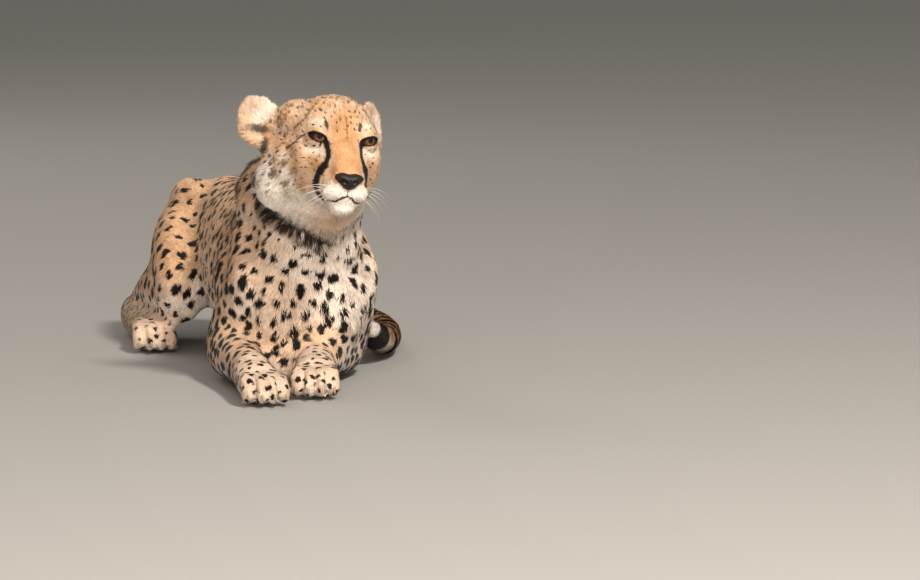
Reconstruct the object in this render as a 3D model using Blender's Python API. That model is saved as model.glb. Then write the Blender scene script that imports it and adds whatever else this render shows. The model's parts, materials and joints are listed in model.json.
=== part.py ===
# A cheetah lying on the floor with its head up: a still, life-size model of the whole animal.
# Metres, +Z up. The animal faces -Y, its left side is +X and the floor is z = 0.
# The body is shaped whole from muscle masses, out to the tips of the coat, and parted with thin cuts.

import math

import bmesh
import bpy
from mathutils import Euler, Matrix, Vector

# Driving dimensions
GAP = 0.0003             # thin cut between neighbouring parts
BODY_VOXEL = 0.0065      # grain of the fused trunk and limbs
FINE_VOXEL = 0.0034      # grain of the fused head and paws
BODY_TRIANGLES = 1790
HEAD_TRIANGLES = 1180
FOOT_TRIANGLES = 250

BRISKET_Y = -0.105       # front of the chest
RUMP_Y = 0.655           # back of the rump
CHEST_HALF_WIDTH = 0.094
WITHERS_Z = 0.295
CROUP_Z = 0.262

HEAD_AT = Vector((0.0155, -0.150, 0.341))
HEAD_TURN = Euler((math.radians(-4.5), math.radians(6.0), math.radians(0.5)), "XYZ")
EYE_RADIUS = 0.0165
EYE_AT = Vector((0.0345, -0.0640, 0.0225))
EAR_RADII = Vector((0.0320, 0.0180, 0.0390))
EARS = {
    "right": {"side": -1, "at": (-0.0990, 0.0340, 0.0380), "turn": (-10, -30, -12)},
    "left": {"side": 1, "at": (0.0612, 0.0440, 0.0425), "turn": (-12, 20, 52)},
}
NOSE_AT = Vector((0.0, -0.1285, -0.0370))
NOSE_HALF_WIDTH = 0.0265

NECK_BASE = Vector((0.0, 0.0, 0.238))
NECK_LEAN = 27.0
HEAD_BASE = Vector((0.011, -0.094, 0.318))
HEAD_LEAN = -34.0
RIBS_Y = 0.205
LOINS_Y = 0.415
HIND_FOOT_LENGTH = 0.285
FORE_PAW_LENGTH = 0.146
FORE_TOE_STEP = 0.0185   # between neighbouring toe tips
HIND_TOE_STEP = 0.0178
TOE_PLACES = (-1.5, -0.5, 0.5, 1.5)
OUTER_TOE_SHORT = 0.011

TAIL_RADIUS = 0.026
TAIL_TIP_RADIUS = 0.021
TAIL_LENGTHS = 4

FORELEGS = {
    "right": {"side": -1, "shoulder": (-0.077, -0.040, 0.150), "elbow": (-0.098, 0.045, 0.048),
              "wrist": (-0.110, -0.190, 0.036), "toes": (-0.113, -0.335)},
    "left": {"side": 1, "shoulder": (0.075, -0.034, 0.150), "elbow": (0.082, 0.062, 0.048),
             "wrist": (-0.002, -0.128, 0.036), "toes": (-0.031, -0.262)},
}
HINDLEGS = {
    "right": {"side": -1, "hip": (-0.070, 0.550, 0.150), "knee": (-0.110, 0.392, 0.108),
              "hock": (-0.120, 0.620, 0.062), "heel": (-0.132, 0.634), "toes": (-0.149, 0.345)},
    "left": {"side": 1, "hip": (0.070, 0.550, 0.150), "knee": (0.110, 0.398, 0.108),
             "hock": (0.118, 0.625, 0.062), "heel": (0.129, 0.640), "toes": (0.142, 0.352)},
}

COLOURS = {
    "coat": (0.60, 0.40, 0.21),
    "pale": (0.82, 0.72, 0.58),
    "ear": (0.42, 0.28, 0.15),
    "nose": (0.015, 0.012, 0.012),
    "eye": (0.32, 0.13, 0.03),
    "claw": (0.30, 0.22, 0.15),
    "tip": (0.70, 0.62, 0.52),
}


# Scene and materials

def clear_scene():
    for item in list(bpy.data.objects):
        bpy.data.objects.remove(item, do_unlink=True)


def make_material(name, colour, roughness):
    material = bpy.data.materials.new(name)
    material.use_nodes = True
    shader = material.node_tree.nodes["Principled BSDF"]
    shader.inputs["Base Color"].default_value = (*colour, 1.0)
    shader.inputs["Roughness"].default_value = roughness
    shader.inputs["Metallic"].default_value = 0.0
    return material


def make_object(name, mesh):
    item = bpy.data.objects.new(name, mesh)
    bpy.context.collection.objects.link(item)
    return item


def mesh_from(bm, name):
    bmesh.ops.recalc_face_normals(bm, faces=bm.faces)
    mesh = bpy.data.meshes.new(name)
    bm.to_mesh(mesh)
    bm.free()
    return mesh


def settle(item):
    """Bakes an object's modifiers into its mesh and returns the mesh."""
    graph = bpy.context.evaluated_depsgraph_get()
    return bpy.data.meshes.new_from_object(item.evaluated_get(graph))


def discard(item):
    bpy.data.objects.remove(item, do_unlink=True)


# Masses

def ball(bm, centre, radii, turn=(0.0, 0.0, 0.0), fine=3):
    """A rounded mass: an ellipsoid with its own turn, in degrees."""
    rotation = Euler([math.radians(angle) for angle in turn], "XYZ").to_matrix().to_4x4()
    place = Matrix.Translation(centre) @ rotation @ Matrix.Diagonal((*radii, 1.0))
    bmesh.ops.create_icosphere(bm, subdivisions=fine, radius=1.0, matrix=place)


def pair(bm, centre, radii, turn=(0.0, 0.0, 0.0)):
    """The same mass on both sides."""
    for side in (-1, 1):
        ball(bm, (side * centre[0], centre[1], centre[2]), radii,
             (turn[0], side * turn[1], side * turn[2]))


def along(stations, steps):
    """Smooths a short list of equal-length stations into a finer one, as a Catmull-Rom curve."""
    rows = [Vector(row) for row in stations]
    rows = [2 * rows[0] - rows[1]] + rows + [2 * rows[-1] - rows[-2]]
    found = []
    for before, start, end, after in zip(rows, rows[1:], rows[2:], rows[3:]):
        for step in range(steps):
            t = step / steps
            found.append(0.5 * (2 * start + (end - before) * t
                                + (2 * before - 5 * start + 4 * end - after) * t ** 2
                                + (3 * start - before - 3 * end + after) * t ** 3))
    return found + [rows[-2]]


def tube(bm, stations, sides=16, steps=4, span=None, trim=0.0):
    """A closed tube through stations of (x, y, z, half width, half height).

    A span keeps only the rings from one number to another, with the first moved in by the trim.
    """
    rows = along(stations, steps) if steps > 1 else [Vector(row) for row in stations]
    spots = [Vector(row[:3]) for row in rows]
    first, last = span or (0, len(rows) - 1)
    edges = []
    for number in range(first, last + 1):
        ahead = (spots[min(number + 1, len(rows) - 1)] - spots[max(number - 1, 0)]).normalized()
        side = ahead.cross(Vector((0, 0, 1)))
        if side.length < 0.2:
            side = ahead.cross(Vector((0, 1, 0)))
        side.normalize()
        rise = side.cross(ahead).normalized()
        turn = Matrix((side, rise, -side.cross(rise))).transposed().to_4x4()
        centre = spots[number] + ahead * (trim if number == first else 0.0)
        wide, high = rows[number][3], rows[number][4]
        place = Matrix.Translation(centre) @ turn @ Matrix.Diagonal((wide, high, 1, 1))
        circle = bmesh.ops.create_circle(bm, segments=sides, radius=1.0, matrix=place)["verts"]
        edges.append(list({edge for vert in circle for edge in vert.link_edges}))
    for lower, upper in zip(edges, edges[1:]):
        bmesh.ops.bridge_loops(bm, edges=lower + upper)
    bmesh.ops.holes_fill(bm, edges=edges[0] + edges[-1], sides=sides)


def loft(bm, sections, sides=32, steps=4, x=0.0):
    """A closed body along Y through (y, middle z, half width, rise, drop, roundness) sections.

    The width is widest at the middle height, with its own rise above it and drop below it, and a
    roundness under 1 squares the section off.
    """
    edges = []
    for y, middle, half, rise, drop, roundness in along(sections, steps):
        place = Matrix.Translation((x, y, middle)) @ Matrix.Rotation(math.pi / 2, 4, "X")
        circle = bmesh.ops.create_circle(bm, segments=sides, radius=1.0, matrix=place)["verts"]
        for vert in circle:
            across, up = vert.co.x - x, vert.co.z - middle
            wide = math.copysign(abs(across) ** roundness, across)
            high = math.copysign(abs(up) ** roundness, up)
            vert.co = (x + half * wide, y, middle + (rise if up > 0 else drop) * high)
        edges.append(list({edge for vert in circle for edge in vert.link_edges}))
    for first, second in zip(edges, edges[1:]):
        bmesh.ops.bridge_loops(bm, edges=first + second)
    bmesh.ops.holes_fill(bm, edges=edges[0] + edges[-1], sides=sides)


def limb(bm, stations, steps=4):
    """A tube with a round mass at each end, for a leg that runs into its neighbours."""
    tube(bm, [(*point, wide, high) for point, wide, high in stations], steps=steps)
    for point, wide, high in (stations[0], stations[-1]):
        ball(bm, point, (wide, (wide + high) / 2, high))


def fuse(bm, name, voxel, rounds, triangles):
    """Fuses overlapping masses into one skin, softens it and thins its faces."""
    item = make_object(name, mesh_from(bm, name))
    remesh = item.modifiers.new("fuse", "REMESH")
    remesh.mode = "VOXEL"
    remesh.voxel_size = voxel
    soften = item.modifiers.new("soften", "SMOOTH")
    soften.factor = 0.5
    soften.iterations = rounds
    dense = settle(item)
    dense_triangles = sum(len(face.vertices) - 2 for face in dense.polygons)
    discard(item)
    item = make_object(name, dense)
    thin = item.modifiers.new("thin", "DECIMATE")
    thin.ratio = min(1.0, triangles / dense_triangles)
    mesh = settle(item)
    discard(item)
    return mesh


# Cutters

def block(centre, size, turn=None):
    bm = bmesh.new()
    rotation = (turn or Euler((0, 0, 0))).to_matrix().to_4x4()
    place = Matrix.Translation(centre) @ rotation @ Matrix.Diagonal((*size, 1))
    bmesh.ops.create_cube(bm, size=1.0, matrix=place)
    return bm


def cutter(bm, name):
    bmesh.ops.triangulate(bm, faces=bm.faces, quad_method="FIXED", ngon_method="EAR_CLIP")
    item = make_object(name, mesh_from(bm, name))
    item.hide_render = True
    item.display_type = "WIRE"
    return item


def cut(item, tool, operation):
    change = item.modifiers.new(tool.name, "BOOLEAN")
    change.operation = operation
    change.solver = "EXACT"
    change.object = tool


def floor_cutter():
    """Everything under the floor, which leaves small flats where the body rests."""
    return cutter(block((0, 0.2, -0.25), (2.0, 2.6, 0.5)), "under_floor")


# Trunk, neck and upper legs, shaped whole

def trunk_masses(bm):
    back = WITHERS_Z
    half = CHEST_HALF_WIDTH
    loft(bm, [
        (BRISKET_Y, 0.122, 0.052, 0.062, 0.070, 1.0),
        (-0.085, 0.128, 0.080, 0.094, 0.108, 1.0),
        (-0.040, 0.134, half + 0.001, back - 0.158, 0.133, 0.92),
        (0.030, 0.138, half + 0.004, back - 0.140, 0.142, 0.86),
        (0.120, 0.138, half + 0.002, back - 0.150, 0.141, 0.90),
        (0.220, 0.140, half + 0.004, back - 0.162, 0.134, 0.94),
        (0.330, 0.146, half - 0.004, back - 0.171, 0.120, 0.96),
        (0.430, 0.152, half - 0.014, back - 0.183, 0.106, 0.96),
        (0.520, 0.150, half - 0.010, CROUP_Z - 0.152, 0.112, 0.96),
        (0.590, 0.142, half - 0.024, 0.096, 0.104, 0.96),
        (RUMP_Y, 0.126, 0.038, 0.052, 0.060, 1.0),
    ])
    ball(bm, (-0.034, BRISKET_Y + 0.014, 0.043), (0.038, 0.036, 0.044))     # long fur of the brisket
    ball(bm, (0.0, 0.090, 0.052), (0.050, 0.150, 0.054))                    # breastbone


def neck_masses(bm):
    tube(bm, [
        (0.000, 0.075, 0.196, 0.088, 0.098),
        (0.002, 0.010, 0.230, 0.089, 0.094),
        (0.006, -0.055, 0.268, 0.083, 0.088),
        (0.010, -0.105, 0.298, 0.076, 0.081),
        (0.011, -0.150, 0.320, 0.074, 0.078),
        (0.011, -0.195, 0.338, 0.066, 0.070),
    ], sides=24)
    ball(bm, (0.004, -0.070, 0.210), (0.080, 0.052, 0.072))                 # root of the throat
    ball(bm, (-0.029, 0.005, 0.264), (0.066, 0.080, 0.072))                 # mane, crowded to the right


def foreleg_masses(bm, leg):
    side = leg["side"]
    shoulder, elbow, wrist = (Vector(leg[key]) for key in ("shoulder", "elbow", "wrist"))
    blade = Vector((side * 0.060, 0.030, WITHERS_Z - 0.072))
    ball(bm, blade, (0.032, 0.056, 0.076), (-22, side * -8, 0))             # shoulder blade
    limb(bm, [(blade, 0.034, 0.050), (shoulder, 0.040, 0.050)])
    limb(bm, [(shoulder, 0.040, 0.050), (shoulder.lerp(elbow, 0.5), 0.039, 0.052), (elbow, 0.036, 0.042)])
    limb(bm, [(elbow, 0.037, 0.047), (elbow.lerp(wrist, 0.25), 0.042, 0.046),
              (elbow.lerp(wrist, 0.62), 0.036, 0.038), (wrist, 0.032, 0.034)])
    ball(bm, elbow + Vector((0, 0.018, -0.006)), (0.026, 0.028, 0.032))     # point of the elbow
    ball(bm, shoulder + Vector((side * 0.008, 0.090, -0.010)), (0.036, 0.066, 0.062))  # triceps


def hindleg_masses(bm, leg):
    side = leg["side"]
    hip, knee, hock = (Vector(leg[key]) for key in ("hip", "knee", "hock"))
    limb(bm, [(hip, 0.050, 0.074), (hip.lerp(knee, 0.5), 0.050, 0.082), (knee, 0.038, 0.056)])
    ball(bm, hip + Vector((side * 0.012, 0.018, -0.054)), (0.044, 0.076, 0.064))       # ham
    limb(bm, [(knee - Vector((0, 0, 0.016)), 0.036, 0.046), (knee.lerp(hock, 0.45), 0.036, 0.046),
              (knee.lerp(hock, 0.8), 0.028, 0.034), (hock, 0.024, 0.030)])
    ball(bm, hip + Vector((side * -0.018, 0.060, -0.030)), (0.042, 0.044, 0.062))      # buttock
    ball(bm, hip + Vector((side * -0.010, -0.020, 0.062)), (0.038, 0.072, 0.046))      # point of the hip
    ball(bm, knee + Vector((side * -0.010, -0.004, -0.020)), (0.035, 0.036, 0.050))    # knee


def whole_body():
    bm = bmesh.new()
    trunk_masses(bm)
    neck_masses(bm)
    for leg in FORELEGS.values():
        foreleg_masses(bm, leg)
    for leg in HINDLEGS.values():
        hindleg_masses(bm, leg)
    ball(bm, (0.0, RUMP_Y - 0.030, 0.120), (0.036, 0.050, 0.040))           # root of the tail
    return fuse(bm, "whole_body", BODY_VOXEL, 18, BODY_TRIANGLES)


# Head

def head_masses(bm):
    """A small face, a high crown, and a ruff that the turned neck crowds out on the right side."""
    loft(bm, [
        (0.092, -0.010, 0.046, 0.040, 0.060, 1.0),
        (0.066, -0.006, 0.066, 0.064, 0.074, 1.0),
        (0.030, -0.006, 0.076, 0.087, 0.076, 0.98),
        (-0.008, -0.006, 0.074, 0.093, 0.074, 0.96),
        (-0.038, -0.006, 0.067, 0.084, 0.070, 0.94),
        (-0.060, -0.010, 0.059, 0.068, 0.066, 0.94),
        (-0.077, -0.022, 0.044, 0.051, 0.056, 1.00),
        (-0.094, -0.038, 0.033, 0.036, 0.044, 0.98),
        (-0.116, -0.047, 0.026, 0.026, 0.033, 0.96),
        (-0.134, -0.050, 0.014, 0.012, 0.016, 1.0),
    ])
    pair(bm, (0.029, -0.052, 0.041), (0.022, 0.020, 0.014), (0, 18, 24))    # brow
    pair(bm, (0.042, -0.006, -0.024), (0.023, 0.046, 0.040))                # cheek
    ball(bm, (0.043, 0.036, -0.044), (0.029, 0.038, 0.044))                 # ruff, left
    ball(bm, (-0.064, 0.026, -0.040), (0.037, 0.042, 0.048))                # ruff, right
    ball(bm, (-0.066, 0.036, 0.016), (0.034, 0.030, 0.040))                 # root of the right ear
    ball(bm, (-0.046, 0.018, 0.040), (0.037, 0.046, 0.038))                 # temple, right
    ball(bm, (-0.050, 0.004, -0.018), (0.036, 0.046, 0.052))                # cheek fur, right
    ball(bm, (0.050, 0.042, 0.030), (0.026, 0.026, 0.034))                  # root of the left ear
    pair(bm, (0.034, -0.057, -0.012), (0.021, 0.022, 0.022))                # cheekbone under the eye
    tube(bm, [(0.0, -0.060, 0.035, 0.025, 0.014), (0.0, -0.089, 0.005, 0.026, 0.015),
              (0.0, -0.118, -0.022, 0.0220, 0.014)])                        # bridge of the nose
    ball(bm, (0.0, -0.120, -0.029), (0.0215, 0.014, 0.014))
    pair(bm, (0.022, -0.082, -0.022), (0.019, 0.024, 0.026))                # beside the bridge
    pair(bm, (0.0160, -0.108, -0.052), (0.0185, 0.027, 0.0185), (0, 0, 12))  # whisker pad
    ball(bm, (0.0, -0.101, -0.076), (0.0215, 0.026, 0.0145))                # chin


def place_of_head():
    return Matrix.Translation(HEAD_AT) @ HEAD_TURN.to_matrix().to_4x4()


def whole_head():
    bm = bmesh.new()
    head_masses(bm)
    tube(bm, [(0.0, 0.000, -0.012, 0.068, 0.070), (0.0, 0.045, -0.037, 0.075, 0.079),
              (0.0, 0.095, -0.066, 0.083, 0.087)], sides=24)                # root of the neck
    mesh = fuse(bm, "whole_head", FINE_VOXEL, 9, HEAD_TRIANGLES)
    mesh.transform(place_of_head())
    return mesh


def make_eye(name, side, material):
    bm = bmesh.new()
    bmesh.ops.create_icosphere(bm, subdivisions=2, radius=EYE_RADIUS)
    bmesh.ops.transform(bm, matrix=place_of_eye(side), verts=bm.verts)
    return make_part(name, mesh_from(bm, name), material)


def place_of_eye(side):
    return place_of_head() @ Matrix.Translation((side * EYE_AT.x, EYE_AT.y, EYE_AT.z))


def eye_socket(side):
    bm = bmesh.new()
    bmesh.ops.create_icosphere(bm, subdivisions=2, radius=EYE_RADIUS + 2 * GAP)
    bmesh.ops.transform(bm, matrix=place_of_eye(side), verts=bm.verts)
    return cutter(bm, "socket")


def nose_leather(grow):
    """Nose leather: wide over the nostrils and narrow at the lip."""
    bm = bmesh.new()
    wide = NOSE_HALF_WIDTH + grow
    bmesh.ops.create_icosphere(bm, subdivisions=2, radius=1.0)
    for vert in bm.verts:
        taper = 0.70 + 0.30 * vert.co.z
        vert.co = (wide * taper * vert.co.x, (0.0130 + grow) * vert.co.y, (0.0140 + grow) * vert.co.z)
    lean = Matrix.Translation(NOSE_AT) @ Matrix.Rotation(math.radians(18), 4, "X")
    bmesh.ops.transform(bm, matrix=place_of_head() @ lean, verts=bm.verts)
    return bm


def ear_shell(ear, hollow):
    """A short round ear leans out and opens forward: its outer shape, or the hollow inside it."""
    turn = Euler([math.radians(angle) for angle in ear["turn"]], "XYZ").to_matrix().to_4x4()
    place = place_of_head() @ Matrix.Translation(ear["at"]) @ turn
    bm = bmesh.new()
    bmesh.ops.create_icosphere(bm, subdivisions=2, radius=1.0)
    for vert in bm.verts:
        broad = 1.0 - 0.16 * vert.co.z
        vert.co = (vert.co.x * EAR_RADII.x * broad, vert.co.y * EAR_RADII.y * broad, vert.co.z * EAR_RADII.z)
        if hollow:
            vert.co = (vert.co.x * 0.74, vert.co.y * 0.72 - 0.0165, vert.co.z * 0.78 + 0.0005)
    bmesh.ops.transform(bm, matrix=place, verts=bm.verts)
    return bm


# Feet

def toes(step):
    """The tip's place across the foot and its shortness, for each toe."""
    return [(place * step, OUTER_TOE_SHORT if abs(place) > 1 else 0.0) for place in TOE_PLACES]


def toe_masses(bm, start, reach, step):
    """Four toes fanned over the pad, from the knuckles at y = start to y = -reach."""
    for tip, short in toes(step):
        root = tip * 0.0150 / step
        knuckle_y = 0.42 * start + 0.58 * (-reach + short)
        tube(bm, [(root, start, 0.034, 0.0120, 0.0135), (tip * 0.92, knuckle_y, 0.0335, 0.0115, 0.0135),
                  (tip, -reach + short + 0.014, 0.0200, 0.0108, 0.0135)], sides=10, steps=3)
        ball(bm, (tip, -reach + short + 0.013, 0.0165), (0.0105, 0.0125, 0.0150))
        ball(bm, (tip * 0.92, knuckle_y, 0.0335), (0.0112, 0.0130, 0.0130))


def fore_paw_mesh(name):
    """Lies along -Y with its wrist at the origin's plane and its pads under z = 0."""
    bm = bmesh.new()
    tube(bm, [(0.0, 0.030, 0.036, 0.0300, 0.0320), (0.0, 0.000, 0.036, 0.0300, 0.0320),
              (0.0, -0.040, 0.033, 0.0325, 0.0285), (0.0, -0.070, 0.030, 0.0350, 0.0255)])
    ball(bm, (0.0, -0.070, 0.026), (0.0350, 0.0330, 0.0260))
    toe_masses(bm, -0.066, FORE_PAW_LENGTH, FORE_TOE_STEP)
    ball(bm, (0.0, -0.078, 0.010), (0.0290, 0.0280, 0.0150))
    return fuse(bm, name, FINE_VOXEL, 2, FOOT_TRIANGLES)


def hind_foot_mesh(name, length):
    """The long foot from the heel at the origin's plane to the toes."""
    bm = bmesh.new()
    ball(bm, (0.0, 0.006, 0.031), (0.0235, 0.026, 0.0320))                  # heel
    tube(bm, [(0.0, 0.006, 0.031, 0.0240, 0.0310), (0.0, -0.020, 0.030, 0.0240, 0.0310),
              (0.0, -length * 0.35, 0.027, 0.0260, 0.0280), (0.0, -length + 0.075, 0.028, 0.0320, 0.0250)])
    ball(bm, (0.0, -length + 0.072, 0.025), (0.0335, 0.0330, 0.0250))
    toe_masses(bm, -length + 0.078, length, HIND_TOE_STEP)
    ball(bm, (0.0, -length + 0.066, 0.010), (0.0280, 0.0280, 0.0150))
    return fuse(bm, name, FINE_VOXEL, 2, FOOT_TRIANGLES)


def foot_place(start, toes):
    """Sets a foot's own frame at its root, pointing to its toes."""
    root = Vector((start[0], start[1], 0.0))
    ahead = (Vector((*toes, 0.0)) - root).normalized()
    return Matrix.Translation(root) @ Matrix.Rotation(math.atan2(ahead.x, -ahead.y), 4, "Z")


def make_claws(foot, mesh, material):
    """One claw per toe, cut off where it meets the toe's fur."""
    front = foot.startswith("fore")
    leg = (FORELEGS if front else HINDLEGS)[foot.split("_")[2]]
    start = leg["wrist"] if front else leg["heel"]
    reach, step = (FORE_PAW_LENGTH, FORE_TOE_STEP) if front else (HIND_FOOT_LENGTH, HIND_TOE_STEP)
    toe_clear = grown(mesh, foot + "_toe_clear")
    for number, (tip, short) in enumerate(toes(step)):
        name = f"claw_{foot}_{number + 1}"
        claw = claw_mesh(name, reach - short, tip)
        claw.transform(foot_place(start, leg["toes"]))
        cut(make_part(name, claw, material), toe_clear, "DIFFERENCE")


def claw_mesh(name, reach, across):
    """A blunt, curved claw that stands out under the toe's fur."""
    bm = bmesh.new()
    root = Vector((across, -reach + 0.0035, 0.0190))
    tube(bm, [(*root, 0.0028, 0.0040), (*(root + Vector((0, -0.0095, -0.0036))), 0.0024, 0.0032),
              (*(root + Vector((0, -0.0160, -0.0110))), 0.0010, 0.0012)], sides=4, steps=1)
    return mesh_from(bm, name)


# Tail

def tail_stations():
    """Out of the rump, down to the floor and round the left side, with its end beside the elbow."""
    radius = TAIL_RADIUS
    low = radius - 0.0012
    return along([
        (0.004, 0.615, 0.120, radius + 0.008, radius + 0.008),
        (0.042, 0.694, 0.060, radius + 0.003, radius + 0.003),
        (0.122, 0.716, low, radius, radius),
        (0.193, 0.650, low, radius, radius),
        (0.212, 0.500, low, radius, radius),
        (0.206, 0.350, low, radius, radius),
        (0.174, 0.225, low + 0.004, radius, radius),
        (0.139, 0.140, 0.050, TAIL_TIP_RADIUS, TAIL_TIP_RADIUS),
        (0.131, 0.110, 0.070, 0.008, 0.008),
    ], 3)


def make_tail(material, body_cutter):
    """The tail's lengths, each a closed tube a gap away from the last."""
    rows = tail_stations()
    for number in range(TAIL_LENGTHS):
        first, last = (round(place * (len(rows) - 1) / TAIL_LENGTHS) for place in (number, number + 1))
        bm = bmesh.new()
        tube(bm, rows, sides=10, steps=1, span=(first, last), trim=GAP if number else 0.0)
        name = f"tail_{number + 1}"
        item = make_part(name, mesh_from(bm, name), material)
        cut(item, bpy.data.objects["under_floor"], "DIFFERENCE")
        if number == 0:
            cut(item, body_cutter, "DIFFERENCE")


# Parting

def make_part(name, mesh, material):
    item = make_object(name, mesh)
    item.data.materials.clear()
    item.data.materials.append(material)
    item.data.shade_smooth()
    return item


def grown(mesh, name):
    """A cutter a gap larger than a shape all round."""
    item = make_object(name, mesh.copy())
    item.hide_render = True
    item.display_type = "WIRE"
    swell = item.modifiers.new("swell", "DISPLACE")
    swell.strength = GAP
    swell.mid_level = 0.0
    return item


def zone(build, name):
    """A region of the body: the shape that keeps it and the slightly larger one that clears it."""
    return cutter(build(0.0), name + "_keep"), cutter(build(GAP), name + "_clear")


def forearm_zone(leg):
    elbow, wrist = Vector(leg["elbow"]), Vector(leg["wrist"])

    def build(grow):
        behind = elbow + (elbow - wrist).normalized() * (0.046 + grow)
        bm = bmesh.new()
        tube(bm, [(*behind, 0.036 + grow, 0.040 + grow), (*elbow, 0.055 + grow, 0.056 + grow),
                  (*elbow.lerp(wrist, 0.4), 0.060 + grow, 0.066 + grow),
                  (*wrist, 0.056 + grow, 0.062 + grow)], sides=12, steps=1)
        return bm
    return build


def upper_arm_zone(leg):
    def build(grow):
        bm = bmesh.new()
        ball(bm, (leg["side"] * 0.124, 0.026, 0.140),
             (0.060 + grow, 0.118 + grow, 0.142 + grow), (-12, 0, 0), 2)
        return bm
    return build


def paw_zone(leg):
    """Everything forward of the wrist, round the paw."""
    wrist = Vector(leg["wrist"])
    ahead = (Vector((*leg["toes"], wrist.z)) - wrist).normalized()

    def build(grow):
        place = Matrix.Translation(wrist) @ Matrix.Rotation(math.atan2(ahead.x, -ahead.y), 4, "Z")
        bm = block((0, -0.1, 0), (0.13 + 2 * grow, 0.2 + 2 * grow, 0.14 + 2 * grow))
        bmesh.ops.transform(bm, matrix=place, verts=bm.verts)
        return bm
    return build


def thigh_zone(leg):
    knee, hip = Vector(leg["knee"]), Vector(leg["hip"])

    def build(grow):
        middle = knee.lerp(hip, 0.52)
        bm = bmesh.new()
        ball(bm, (leg["side"] * 0.138, middle.y + 0.008, middle.z + 0.018),
             (0.066 + grow, 0.142 + grow, 0.112 + grow), (16, 0, 0), 2)
        return bm
    return build


def shank_zone(leg):
    knee, hock = Vector(leg["knee"]), Vector(leg["hock"])

    def build(grow):
        bm = bmesh.new()
        tube(bm, [(knee.x * 1.12, knee.y - 0.07 - grow, 0.034, 0.056 + grow, 0.062 + grow),
                  (*knee.lerp(hock, 0.5).xy, 0.034, 0.054 + grow, 0.058 + grow),
                  (hock.x, hock.y + 0.07 + grow, 0.034, 0.050 + grow, 0.054 + grow)], sides=10, steps=1)
        return bm
    return build


def neck_zone(grow):
    """Above the plane that runs from the top of the breast back to the withers."""
    turn = Euler((math.radians(NECK_LEAN), 0, 0))
    high = 0.30
    centre = NECK_BASE + turn.to_matrix() @ Vector((0, -0.05, high / 2))
    return block(centre, (0.40 + 2 * grow, 0.50 + 2 * grow, high + 2 * grow), turn)


def head_zone(grow):
    """Forward of the plane behind the ears and under the jaw."""
    turn = Euler((math.radians(HEAD_LEAN), 0, 0))
    deep = 0.34
    centre = HEAD_BASE + turn.to_matrix() @ Vector((0, -deep / 2, 0))
    return block(centre, (0.40 + 2 * grow, deep + 2 * grow, 0.50 + 2 * grow), turn)


def trunk_zone(start, end):
    return cutter(block((0, (start + end) / 2, 0.2), (0.6, end - start, 0.6)), "length")


def part_body(materials):
    body = whole_body()
    swollen_body = grown(body, "body_clear")
    floor = bpy.data.objects["under_floor"]
    head_keep, head_clear = zone(head_zone, "head")
    cleared = [head_clear]
    feet = {}

    def take(name, keep):
        item = make_part(name, body.copy(), materials["coat"])
        if keep:
            cut(item, keep, "INTERSECT")
        for tool in cleared:
            cut(item, tool, "DIFFERENCE")
        cut(item, floor, "DIFFERENCE")
        return item

    for side, leg in HINDLEGS.items():
        mesh = hind_foot_mesh(f"hind_foot_{side}", HIND_FOOT_LENGTH)
        mesh.transform(foot_place(leg["heel"], leg["toes"]))
        feet[f"hind_foot_{side}"] = mesh
    for side, leg in FORELEGS.items():
        paw_keep, paw_clear = zone(paw_zone(leg), f"paw_{side}")
        cleared.append(paw_clear)
        mesh = fore_paw_mesh(f"fore_paw_{side}")
        mesh.transform(foot_place(leg["wrist"], leg["toes"]))
        feet[f"fore_paw_{side}"] = mesh
    for name, mesh in feet.items():
        item = make_part(name, mesh, materials["pale"])
        if name.startswith("fore"):
            cut(item, bpy.data.objects[f"paw_{name[9:]}_keep"], "INTERSECT")
        else:
            cut(item, swollen_body, "DIFFERENCE")
        cut(item, floor, "DIFFERENCE")
        make_claws(name, mesh, materials["claw"])

    for side, leg in FORELEGS.items():
        keep, clear = zone(forearm_zone(leg), f"forearm_{side}")
        take(f"forearm_{side}", keep)
        cleared.append(clear)
    neck_keep, neck_clear = zone(neck_zone, "neck")
    take("neck", neck_keep)
    cleared.append(neck_clear)
    for side, leg in FORELEGS.items():
        keep, clear = zone(upper_arm_zone(leg), f"upper_arm_{side}")
        take(f"upper_arm_{side}", keep)
        cleared.append(clear)
    for side, leg in HINDLEGS.items():
        keep, clear = zone(shank_zone(leg), f"shank_{side}")
        take(f"shank_{side}", keep)
        cleared.append(clear)
    for side, leg in HINDLEGS.items():
        keep, clear = zone(thigh_zone(leg), f"thigh_{side}")
        take(f"thigh_{side}", keep)
        cleared.append(clear)
    for name, start, end in (("chest", BRISKET_Y - 0.045, RIBS_Y), ("loins", RIBS_Y + GAP, LOINS_Y),
                             ("rump", LOINS_Y + GAP, 0.90)):
        take(name, trunk_zone(start, end))
    make_tail(materials["tip"], swollen_body)


def part_head(materials):
    head = whole_head()
    item = make_part("head", head, materials["coat"])
    cut(item, bpy.data.objects["head_keep"], "INTERSECT")
    clear = grown(head, "head_skin_clear")
    for side, word in ((-1, "right"), (1, "left")):
        make_eye(f"eye_{word}", side, materials["eye"])
        cut(item, eye_socket(side), "DIFFERENCE")
        ear = make_part(f"ear_{word}", mesh_from(ear_shell(EARS[word], False), f"ear_{word}"),
                        materials["ear"])
        cut(ear, cutter(ear_shell(EARS[word], True), f"ear_hollow_{word}"), "DIFFERENCE")
        cut(ear, clear, "DIFFERENCE")
    make_part("nose", mesh_from(nose_leather(0.0), "nose"), materials["nose"])
    cut(item, cutter(nose_leather(GAP), "nose_clear"), "DIFFERENCE")


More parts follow.
